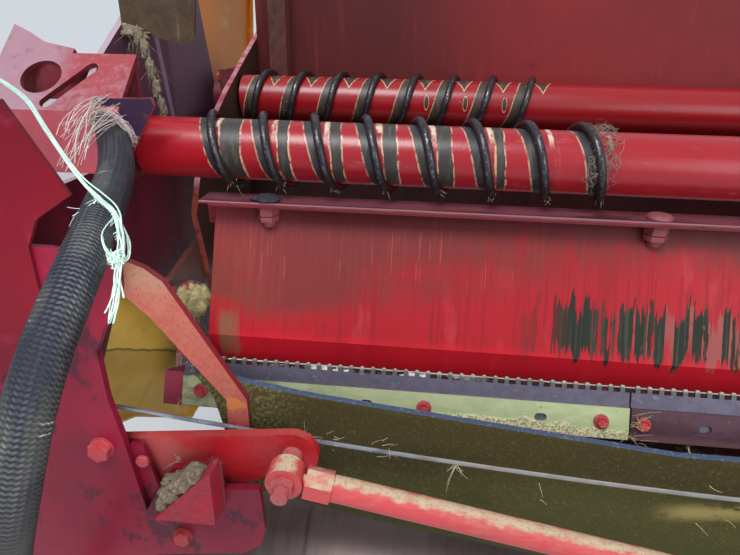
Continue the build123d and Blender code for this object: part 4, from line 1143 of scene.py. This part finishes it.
# %% Apron finish
rubber = Finish("apron_finish", "443a1e", gloss=0.15)
grain = rubber.noise(4.0, detail=6.0, rough=0.75)
broad = rubber.noise(110.0, (2.5, 1, 1), detail=4.0, seed=2.0)
rubber.coat((rubber.z + (broad - 0.5) * 60.0).rise(-286.0, -316.0) * 0.7, "4c4a26")
rubber.coat(broad.rise(0.46, 0.64) * 0.5, "332c17")
rubber.coat(grain.rise(0.5, 0.68) * 0.4, "6c6238")
rubber.coat(rubber.x.rise(-560.0, -640.0) * grain.rise(0.44, 0.62) * 0.5, "86805a")
tan = rubber.noise(26.0, (3, 1, 1), detail=6.0, rough=0.7, seed=7.0)
smear = (rubber.z - rubber.x * 0.10).between(-318.0, -300.0, 8.0)
spot = rubber.x.between(-196.0, -60.0, 26.0) * smear
rubber.coat(spot * tan.rise(0.38, 0.52) * 0.9, "a08c54")
rubber.marks("b4a478", 0.5, 0.72, 0.75, 1.6, detail=1.0, seed=5.0)
cut_edge = rubber.coat(rubber.out_z.rise(0.5, 0.8), "46546c")
rubber.coat(cut_edge * grain.rise(0.54, 0.66) * 0.7, "8c94a0")
rubber.raise_by(grain * 1.0 + broad)
apron = new_piece("apron_belt", belt, "frame", rubber.finish(0.62 + grain * 0.2))
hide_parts("apron")

dress(plain_paint("fitting_finish", "2e3038", "1c1c22", "5c5a5c", cloud=16, chipping=0.0,
                  dusting=0.4), "hose_fitting", "hose_socket", *pair("cable_anchor"))

# %% [markdown]
# ## Bolts
#
# The solid model leaves the fasteners out.  A bolt head is a short prism: a cone with equal ends
# and six sides, with its top rim bevelled, and on a flanged one a round flange below and a shallow
# dish in the top.  Each is built upright once as a mesh and then stamped wherever it is needed.

# %% Prism, bolt and stamp
def add_prism(bm, radius, height, base=0.0, sides=6, chamfer=0.0, dish=0.0, top=1.0):
    """Adds a closed upright prism or disc, in millimetres."""
    part = bmesh.new()
    bmesh.ops.create_cone(part, cap_ends=True, segments=sides, radius1=radius / MM,
                          radius2=radius * top / MM, depth=height / MM,
                          matrix=Matrix.Translation((0, 0, (base + height / 2) / MM)))
    cap = max(part.faces, key=lambda face: face.calc_center_median().z)
    rim = list(cap.edges)
    if dish:
        bmesh.ops.inset_region(part, faces=[cap], thickness=radius * 0.35 / MM, depth=-dish / MM)
    if chamfer:
        bevel(part, rim, chamfer)
    for face in part.faces:
        face.smooth = sides > 8 and len(face.verts) == 4
    join_to(bm, part)


def shape_of(*prisms):
    """One mesh made of several prisms, each given as the settings of add_prism."""
    bm = bmesh.new()
    for settings in prisms:
        add_prism(bm, **settings)
    return finished("shape", bm)


def stamp(bm, shape, where, axis, roll=0.0, scale=1.0):
    """Adds the shape with its foot at a place, pointing along an axis."""
    start = len(bm.verts)
    bm.from_mesh(shape)
    bm.verts.ensure_lookup_table()
    facing = Vector(axis).to_track_quat("Z", "Y").to_matrix().to_4x4()
    turned = facing @ Matrix.Rotation(roll, 4, "Z")
    bmesh.ops.transform(bm, verts=bm.verts[start:],
                        matrix=Matrix.Translation(where) @ turned @ Matrix.Scale(scale, 4))


# %% [markdown]
# Bearings and plates have plain hexagon heads.  The knife's are low ones with a flange and a dish,
# and the rail's are domed, with a nut and a lock nut on the thread.

# %% Heads and nuts
bolt_paints = {
    "red": plain_paint("bolt_paint", "b42a34", "7c1a22", "d89088", cloud=9, dusting=0.7,
                       chipping=0.08, depth=0.6),
    "rail": plain_paint("rail_bolt_paint", "94403e", "703638", "8c7078", cloud=9, dusting=0.9,
                        chipping=0.12, chip="5c2826", depth=0.6),
}
hex_head = shape_of({"radius": 12.5, "height": 1.2, "sides": 24},
                    {"radius": 11.5, "height": 9.0, "base": 1.0, "chamfer": 1.2})
flange_head = shape_of({"radius": 8.6, "height": 2.2, "sides": 28, "chamfer": 0.6, "top": 0.9},
                       {"radius": 5.8, "height": 5.0, "base": 1.8, "chamfer": 0.7, "dish": 1.4})
domed_head = shape_of({"radius": 15.0, "height": 5.5, "sides": 28, "chamfer": 3.6, "top": 0.8})
nut_pair = shape_of({"radius": 14.0, "height": 2.0, "sides": 28},
                    {"radius": 13.4, "height": 10.0, "base": 2.0, "chamfer": 1.2},
                    {"radius": 13.0, "height": 7.0, "base": 12.6, "chamfer": 1.2},
                    {"radius": 7.6, "height": 14.0, "base": 12.0, "sides": 20, "chamfer": 1.0})
button = shape_of({"radius": 7.0, "height": 5.0, "sides": 24, "chamfer": 1.5})
print("hexagon head faces:", len(hex_head.polygons))

# %% [markdown]
# The knife's bolts stand square to its tilted face and ride with it.  The others hold bearings and
# plates.  Each head is turned a little differently, as a spanner leaves it.

# %% Knife, plate and bearing bolts
KNIFE_BOLTS = (33.0, 216.0, 261.0, 457.5, 654.0, 720.0)    # middle to each bolt, both sides
STRIP_FACE = 5.5            # blade and strip in front of the tube
BEARINGS = {"front": (0.0, 0.0, 833.0, -1), "floor": (-60.0, -595.0, 833.0, -1),
            "rear": (296.0, 26.0, 800.0, 1)}    # y, z, flange from the middle, way it looks
BEARING_BOLT, BEARING_SCALE = 33.0, 0.7
BUTTON_PLACE = (-739, -230, -270)
PLATE_BOLTS = ((-775, -238, -251, 1.0), (-705, -238, -362, 0.8), (-652, -186, -257, 0.6),
               (652, -186, -257, 0.6), (775, -238, -251, 1.0))       # x, y, z, scale

bolts = random.Random(3)
face_out = Vector((0, -math.cos(TILT), math.sin(TILT)))
knife_bolts = bmesh.new()
for middle in KNIFE_BOLTS:
    for x in (-middle, middle):
        seat = place(x, KNIFE_Y, KNIFE_Z) + face_out * STRIP_FACE / MM
        stamp(knife_bolts, flange_head, seat, face_out, roll=bolts.uniform(0, 1))
new_piece("knife_bolts", knife_bolts, "knife", bolt_paints["red"])

frame_bolts = bmesh.new()
for y, z, face, way in BEARINGS.values():
    for x in (-face, face):
        for dy in (-BEARING_BOLT, BEARING_BOLT):
            for dz in (-BEARING_BOLT, BEARING_BOLT):
                axis = (math.copysign(way, way * x), 0, 0)
                stamp(frame_bolts, hex_head, place(x, y + dy, z + dz), axis,
                      roll=bolts.uniform(0, 1), scale=BEARING_SCALE)
for x, y, z, scale in PLATE_BOLTS:
    stamp(frame_bolts, hex_head, place(x, y, z), (0, -1, 0), roll=bolts.uniform(0, 1), scale=scale)
stamp(frame_bolts, button, place(*BUTTON_PLACE), (0, -1, 0))
new_piece("frame_bolts", frame_bolts, "frame", bolt_paints["red"])

# %% [markdown]
# Four long bolts hold the rail.  Each is two stamps that point opposite ways, one above the flange
# and one below it.

# %% Rail bolts: a domed head above, a nut and a lock nut below
RAIL_BOLTS = (-655.0, -209.0, 209.0, 655.0)
BOLT_Y, FLANGE_TOP, FLANGE_UNDER = -24, -53, -59

rail_bolts = bmesh.new()
for x in RAIL_BOLTS:
    stamp(rail_bolts, domed_head, place(x, BOLT_Y, FLANGE_TOP), (0, 0, 1))
    stamp(rail_bolts, nut_pair, place(x, BOLT_Y, FLANGE_UNDER), (0, 0, -1),
          roll=bolts.uniform(0, 1))
new_piece("rail_bolts", rail_bolts, "frame", bolt_paints["rail"])

# %% [markdown]
# ## Cable
#
# A thin steel cable crosses in front of the apron.  It is six strands laid round a middle one, so
# each strand's centre is turned a little further at every point read along the line.

# %% Cable strands
CABLE_ROUTE = [(-830, -199, -224), (-560, -199, -260), (0, -199, -295), (560, -199, -260),
               (830, -199, -224)]
STRAND_RADIUS = 0.00085
LAY = 0.022                 # length in which a strand goes once round
STRANDS, STRAND_OUT = 6, 1.8    # how many, and how far out in radii
CABLE_STEPS = 240

steel = Finish("cable_finish", "8c8c96", gloss=0.5)
grain = steel.noise(9.0, (3, 1, 1), detail=4.0)
steel.coat(grain.rise(0.46, 0.62) * 0.6, "4c4a50")
steel.coat(steel.x.rise(-520.0, -420.0) * 0.55, "a09888")
steel.raise_by(grain)
cable_finish = steel.finish(0.5, metal=0.4)

cable_line = read_line([place(*spot) for spot in CABLE_ROUTE], CABLE_STEPS)
cable_mesh = bmesh.new()
tube(cable_mesh, cable_line, STRAND_RADIUS, sides=5)
for strand in range(STRANDS):
    run, spots = 0.0, []
    for before, here in zip([cable_line[0]] + cable_line, cable_line):
        run += (here - before).length
        angle = 2 * math.pi * (strand / STRANDS + run / LAY)
        out = Vector((0, math.cos(angle), math.sin(angle)))
        spots.append(here + out * STRAND_OUT * STRAND_RADIUS)
    tube(cable_mesh, spots, STRAND_RADIUS, sides=5)
cable = new_piece("cable_strands", cable_mesh, "frame", cable_finish)
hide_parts("steel_cable")

# %% [markdown]
# ## Hay, chaff and torn net
#
# Bits of straw hang on everything that moves.  A straw is a thin tapered tube with a bend in it,
# and a tuft is a handful of them with the same root.  The random numbers are seeded, so every run
# gives the same hay.

# %% Straw
hay = random.Random(7)


def around(amount):
    """A random step of at most this many millimetres along each axis."""
    return Vector([hay.uniform(-amount, amount) for _ in range(3)])


def thread(bm, spots, radius, steps=6, sides=5, taper=None):
    """A thin tube along millimetre places."""
    tube(bm, read_line([place(*spot) for spot in spots], steps), radius / MM, sides, taper)


def tuft(bm, root, heading, count, length, spread=0.7, thick=0.32, scatter=3.0):
    """Bent straws that leave one spot, all in millimetres."""
    for _ in range(count):
        start = Vector(root) + around(scatter)
        lean = (Vector(heading).normalized() + around(spread)).normalized()
        reach = length * hay.uniform(0.5, 1.2)
        middle = start + lean * reach * 0.5 + around(reach * 0.16)
        thread(bm, (start, middle, start + lean * reach + around(reach * 0.28)), thick, steps=4,
               taper=lambda t: 1.0 - 0.6 * t)


def tufts(bm, rows):
    for root, heading, count, length, spread, scatter in rows:
        tuft(bm, root, heading, count, length, spread, scatter=scatter)


THREAD_LOOKS = {"hay_finish": ("cdbf92", "a08c58", "e4dcc0", 12, 0.6),
                "net_finish": ("bcd4c6", "90aca0", "e4e8dc", 16, 0.5),
                "net_dry_finish": ("dcc8c0", "b89c98", "f0e8e0", 12, 0.5),
                "net_wad_finish": ("8c7468", "4c3a34", "c8b8a4", 14, 0.7)}
hay_finish, pale_net, cream_net, wad_finish = [
    plain_paint(name, *colours, cloud=cloud, chipping=0.0, dusting=dusting)
    for name, (*colours, cloud, dusting) in THREAD_LOOKS.items()]
print("straw and net finishes:", ", ".join(THREAD_LOOKS))

# %% [markdown]
# Hay gathers where the cable and the plates catch it.  Every tuft is one row of numbers, so it is
# easy to compare with the photograph and to change.

# %% Hay on the frame
# root, heading, how many, length, spread, scatter
FRAME_HAY = [((-577, -200, -252), (0.3, -0.5, 0.6), 16, 15, 0.7, 5),
             ((-555, -200, -255), (0.5, -0.3, 0.3), 7, 12, 0.7, 8),
             ((-423, -200, -270), (0.1, -0.2, -1), 12, 20, 0.9, 2),
             ((-500, -200, -262), (1, -0.3, 0.4), 8, 16, 0.7, 14),
             ((-345, -200, -274), (1, -0.2, -0.4), 3, 12, 0.7, 24),
             ((-160, -200, -284), (1, -0.2, -0.4), 3, 12, 0.7, 30),
             ((-652, -192, -257), (-0.3, -1, 0.2), 10, 12, 0.7, 5)]

frame_hay = bmesh.new()
tufts(frame_hay, FRAME_HAY)
new_piece("frame_hay", frame_hay, "frame", hay_finish)

# %% [markdown]
# What clings to a moving part has to move with it, so this hay is a piece of its own for each body.

# %% Hay on the knife, the crank and the rolls
BOLT_HAY = ((-228, 2), (-224, 8), (-232, -12), (-222, -18))     # x and distance up the face
# root, heading, how many, length, spread, scatter
KNIFE_HAY = [((-165, -122, -278), (0.2, -0.6, -1), 6, 20, 0.7, 3),
             ((-362, -122, -280), (0.1, -0.6, -1), 4, 16, 0.7, 3),
             ((-745, -124, -276), (0.2, -0.9, -0.4), 8, 16, 0.7, 6),
             ((-735, -118, -232), (0.2, -0.6, 0.8), 8, 16, 0.7, 8),
             ((-756, -42, -200), (0.1, -0.3, -1), 10, 34, 0.25, 7)]
BETWEEN_TURNS = 0.42        # of the pitch, from a turn to the hay right of it
CRANK_HAY = [((-707, -222, -272), (0.1, -1, 0.3), 9, 11, 1.0, 3),
             ((-694, -222, -286), (0.4, -1, 0.1), 7, 12, 1.0, 3)]

knife_hay = bmesh.new()
for x, up in BOLT_HAY:
    y = KNIFE_Y + up * math.sin(TILT) - 7 * math.cos(TILT)
    z = KNIFE_Z + up * math.cos(TILT) + 7 * math.sin(TILT)
    tuft(knife_hay, (x, y, z), (0.2, -0.7, 0.5), 6, 20, scatter=4)
tufts(knife_hay, KNIFE_HAY)
new_piece("knife_hay", knife_hay, "knife", hay_finish)

crank_hay = bmesh.new()
tufts(crank_hay, CRANK_HAY)
new_piece("crank_hay", crank_hay, "crank", hay_finish)

roll_hay = bmesh.new()
for turn in range(TURNS):
    x = FRONT_CREST + PITCH * (turn + BETWEEN_TURNS)
    tuft(roll_hay, (x, -24, -34), (0.4, -0.3, -1), 5, 10, scatter=5, thick=0.2)
    tuft(roll_hay, (x - 20, -34, 22), (0.2, -1, 0.2), 2, 6, scatter=8, thick=0.2)
new_piece("roll_hay", roll_hay, "front_roll", hay_finish)

# %% [markdown]
# The net that tore off last is still wound round the last turn of the front roll's spiral.  It is
# a loose wad: threads that start at a spot on the roll and run round it, each a little out of line.

# %% Net wad on the roll
LAST_TURN = FRONT_CREST + 7 * PITCH
WAD_THREADS, WAD_REACH = 90, 36.5       # reach from the axis, just above the tube

wad = bmesh.new()
for _ in range(WAD_THREADS):
    x = LAST_TURN + hay.uniform(2, 30)
    start = hay.uniform(-60, 90)
    sweep = hay.uniform(10, 60)
    spots = []
    for step in range(5):
        turned = math.radians(start + sweep * step / 4 + hay.uniform(-6, 6))
        reach = WAD_REACH + hay.uniform(0, 5) + (3 if step in (1, 2) else 0)
        spots.append((x + hay.uniform(-9, 9), -math.sin(turned) * reach, math.cos(turned) * reach))
    thread(wad, spots, hay.uniform(0.14, 0.32), steps=5)
tuft(wad, (LAST_TURN + 22, 3, 39), (0.3, -0.3, 1), 24, 6.5, spread=1.2, scatter=4, thick=0.2)
new_piece("net_wad", wad, "front_roll", wad_finish)

# %% [markdown]
# A torn strand of net hangs over the hose, in a bundle that loosens towards its knot.  Each thread
# follows the same line with its own small drift, and the knot is threads between random spots.

# %% Torn net over the hose
NET_LINE = [(-812, -246, 108), (-770, -247, 88), (-756, -251, 66), (-743, -256, 46),
            (-729, -259, 26), (-716, -263, 13), (-702, -268, 4), (-694, -277, -6),
            (-689, -288, -17), (-686, -303, -27), (-680, -318, -39), (-682, -330, -52)]
NET_LOOPS = ([(-702, -266, 1), (-701, -286, -2), (-697, -299, -6), (-691, -304, -15),
              (-688, -298, -20), (-691, -281, -15)],
             [(-701, -265, 0), (-696, -264, -11), (-688, -278, -18), (-684, -289, -22),
              (-687, -298, -23), (-692, -296, -14)])
NET_KNOT = (-690, -297, -20)
NET_THREADS, LOOP_THREADS, KNOT_THREADS, FRAYS = 14, 4, 26, 12
TIGHT_POINTS = 5            # of the line, where the bundle is still tight

net = bmesh.new()
for _ in range(NET_THREADS):
    drift = around(2.4)
    reach = hay.choice((7, 9, 11, 12, 12, 12))
    spots = [Vector(spot) + (drift + around(2.2)) * (0.4 if k < TIGHT_POINTS else 1.0)
             for k, spot in enumerate(NET_LINE[:reach])]
    thread(net, spots, hay.uniform(0.35, 0.75), 8, 6)
for loop in NET_LOOPS:
    for _ in range(LOOP_THREADS):
        thread(net, [Vector(spot) + around(1.8) for spot in loop], 0.5, 8, 6)
for _ in range(KNOT_THREADS):
    thread(net, [Vector(NET_KNOT) + around(6.5) for _ in range(5)], 0.6, 6, 6)
for _ in range(FRAYS):
    root = Vector(hay.choice(NET_LINE[5:8]))
    thread(net, (root, root + Vector((-8, -5, -6)) + around(6),
                 root + Vector((-18, -6, -16)) + around(9)), 0.3)
new_piece("torn_net", net, "frame", pale_net)

# %% [markdown]
# Older net, bleached cream, is wound round the hose fitting and frays towards the viewer.  The
# frays run from a few roots to a few ends, and the winding is loops round the fitting.

# %% Dry net round the hose fitting
FAN_TOP = [(-802, -92, 61), (-794, -92, 64), (-784, -94, 56), (-774, -98, 47)]
FAN_END = [(-795, -168, 37), (-776, -193, 25), (-786, -190, 14), (-790, -176, 50), (-772, -178, 34)]
NET_RING = [(-812, -96, 34), (-806, -106, 52), (-786, -108, 56), (-770, -104, 40), (-768, -94, 22)]
FAN_THREADS, RING_THREADS = 36, 16

dry = bmesh.new()
for _ in range(FAN_THREADS):
    top = Vector(hay.choice(FAN_TOP)) + around(6)
    end = Vector(hay.choice(FAN_END)) + around(7)
    middle = (top + end) / 2 + Vector((0, -10, 10)) + around(8)
    thread(dry, (top, middle, end), hay.uniform(0.18, 0.4), 8)
for _ in range(RING_THREADS):
    thread(dry, [Vector(spot) + around(5) for spot in NET_RING], 0.3, 8)
new_piece("dry_net", dry, "frame", cream_net)

# %% [markdown]
# ## Dirt
#
# Clods of earth and chaff fill the foot's gusset, hang from the dust plate and cap the left rail
# bolt.  A clod is an ico sphere, squashed to its place and pushed in and out by noise.

# %% Clods
def clod(bm, where, size, rough=0.35, grain=9.0):
    """A lumpy solid of these half sizes in millimetres."""
    made = bmesh.ops.create_icosphere(bm, subdivisions=4, radius=1.0)["verts"]
    for vert in made:
        shift = noise.fractal(Vector(where) / grain + vert.co * max(size) / grain, 1.0, 2.0, 4)
        vert.co *= 1.0 + rough * shift
        vert.co = place(*(Vector(where) + Vector([c * s for c, s in zip(vert.co, size)])))
    for face in {face for vert in made for face in vert.link_faces}:
        face.smooth = True


def dirt_finish(name, base, pale, paler, dark):
    make = Finish(name, base)
    crumbs = make.noise(4.0, detail=6.0, rough=0.7)
    make.coat(crumbs.rise(0.42, 0.6), pale)
    make.coat(crumbs.rise(0.58, 0.68), paler)
    make.coat(crumbs.rise(0.40, 0.34), dark)
    make.raise_by(crumbs * 3.0)
    return make.finish(0.9, depth=0.8)


# %% [markdown]
# The streamer below the dust plate is a row of clods along a line.  The clod round the knife's
# pivot is full of hay and rides with the knife.  Each is a centre and three half sizes.

# %% Clods in place
GUSSET_DIRT = [((-688, -249, -276), (22, 12, 9)), ((-700, -251, -290), (16, 11, 9)),
               ((-676, -250, -262), (13, 11, 8)), ((-711, -251, -302), (9, 10, 7))]
STREAMER = [(-828, 52, 121), (-818, 48, 110), (-810, 40, 94), (-802, 30, 72), (-793, 22, 51),
            (-785, 16, 33)]

clods = bmesh.new()
for where, size in GUSSET_DIRT:
    clod(clods, where, size)
for root, tip in zip(STREAMER, STREAMER[1:]):
    clod(clods, (Vector(root) + Vector(tip)) / 2, (4.5, 4.5, 13.0), rough=0.6)
clod(clods, (-832, 55, 124), (18, 6, 7), rough=0.7)
tuft(clods, (-828, 52, 118), (0.2, -0.4, -1), 30, 26, scatter=8)
tuft(clods, (-806, 36, 84), (0.3, -0.3, -1), 20, 22, scatter=5)
new_piece("clods", clods, "frame",
          dirt_finish("dirt_finish", "7c6c58", "948470", "b8aa90", "4a3e30"))

caps = bmesh.new()
clod(caps, (-655, -28, -51), (16, 12, 5), rough=0.35)
new_piece("bolt_cap_dirt", caps, "frame",
          dirt_finish("cap_dirt_finish", "2e2a30", "3c363e", "5c5660", "1c181c"))

knob = bmesh.new()
clod(knob, (-758, -30, -190), (19, 22, 21), rough=0.45, grain=12.0)
tuft(knob, (-756, -46, -186), (0.2, -1, 0.1), 40, 17, spread=1.3, scatter=13)
new_piece("hay_knob", knob, "knife",
          dirt_finish("hay_knob_finish", "ac9c6c", "c0b082", "d8cca0", "6c5c3c"))

# %% [markdown]
# Chaff that passes the knife lies on the level leg of the angle bar.  The crumbs are stretched ico
# spheres with twenty faces each, so that hundreds of them stay light.

# %% Crumbs of chaff behind the knife
SHELF_Z = -302.4
CRUMBS = 420
CRUMB_X, CRUMB_Y, CRUMB_SIZE = (-600, 60), (-150, -112), (0.8, 2.0)
CRUMB_SHAPE = Matrix.Diagonal((2.2, 1.0, 0.8, 1.0))

grains = bmesh.new()
for _ in range(CRUMBS):
    spot = place(hay.uniform(*CRUMB_X), hay.uniform(*CRUMB_Y), SHELF_Z)
    size = hay.uniform(*CRUMB_SIZE) / MM
    turned = Matrix.Rotation(hay.uniform(0, math.pi), 4, "Z") @ CRUMB_SHAPE
    bmesh.ops.create_icosphere(grains, subdivisions=1, radius=size,
                               matrix=Matrix.Translation(spot) @ turned)
new_piece("chaff_crumbs", grains, "frame", hay_finish)

# %% [markdown]
# ## Weld beads
#
# The gusset, the bracket's gusset, the hangers and the plates are welded on.  A bead is a row of
# overlapping puddles: a thin tube whose radius swells and narrows as it goes.

# %% Beads
BEAD_STEP, PUDDLE = 1.2, 4.0
# start, end, radius; the second list is set at both ends of the unit
BEADS = [((-718, -238, -313), (-661, -238, -252), 2.6),
         ((-656, -238, -256), (-656, -238, -310), 2.6),
         ((-828, -60, 3), (-800, -60, 3), 2.2)]
END_BEADS = [((788, 96, -205), (788, 96, -150), 2.4), ((844, -178, -70), (844, -178, -104), 2.4),
             ((844, 58, 127), (844, 58, 138), 2.0), ((844, 404, -48), (844, 404, 18), 3.0)]


def bead(bm, start, end, radius):
    start, end = place(*start), place(*end)
    length = (end - start).length * MM
    count = max(int(length / BEAD_STEP), 4)
    spots = [start.lerp(end, k / count) for k in range(count + 1)]
    tube(bm, spots, radius / MM, sides=10,
         taper=lambda t: 0.86 + 0.14 * abs(math.sin(math.pi * t * length / PUDDLE)))


beads = bmesh.new()
for row in BEADS:
    bead(beads, *row)
for start, end, radius in END_BEADS:
    for hand in (-1, 1):
        bead(beads, (hand * start[0], *start[1:]), (hand * end[0], *end[1:]), radius)
new_piece("weld_beads", beads, "frame",
          plain_paint("bead_paint", "7c1a24", "5a141c", "9a5a54", cloud=20, dusting=0.5))

# %% The size with the new pieces, and the end
low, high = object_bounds()
print("grown:", [round(v * MM, 1) for v in (*(cad_low - low), *(high - cad_high))])
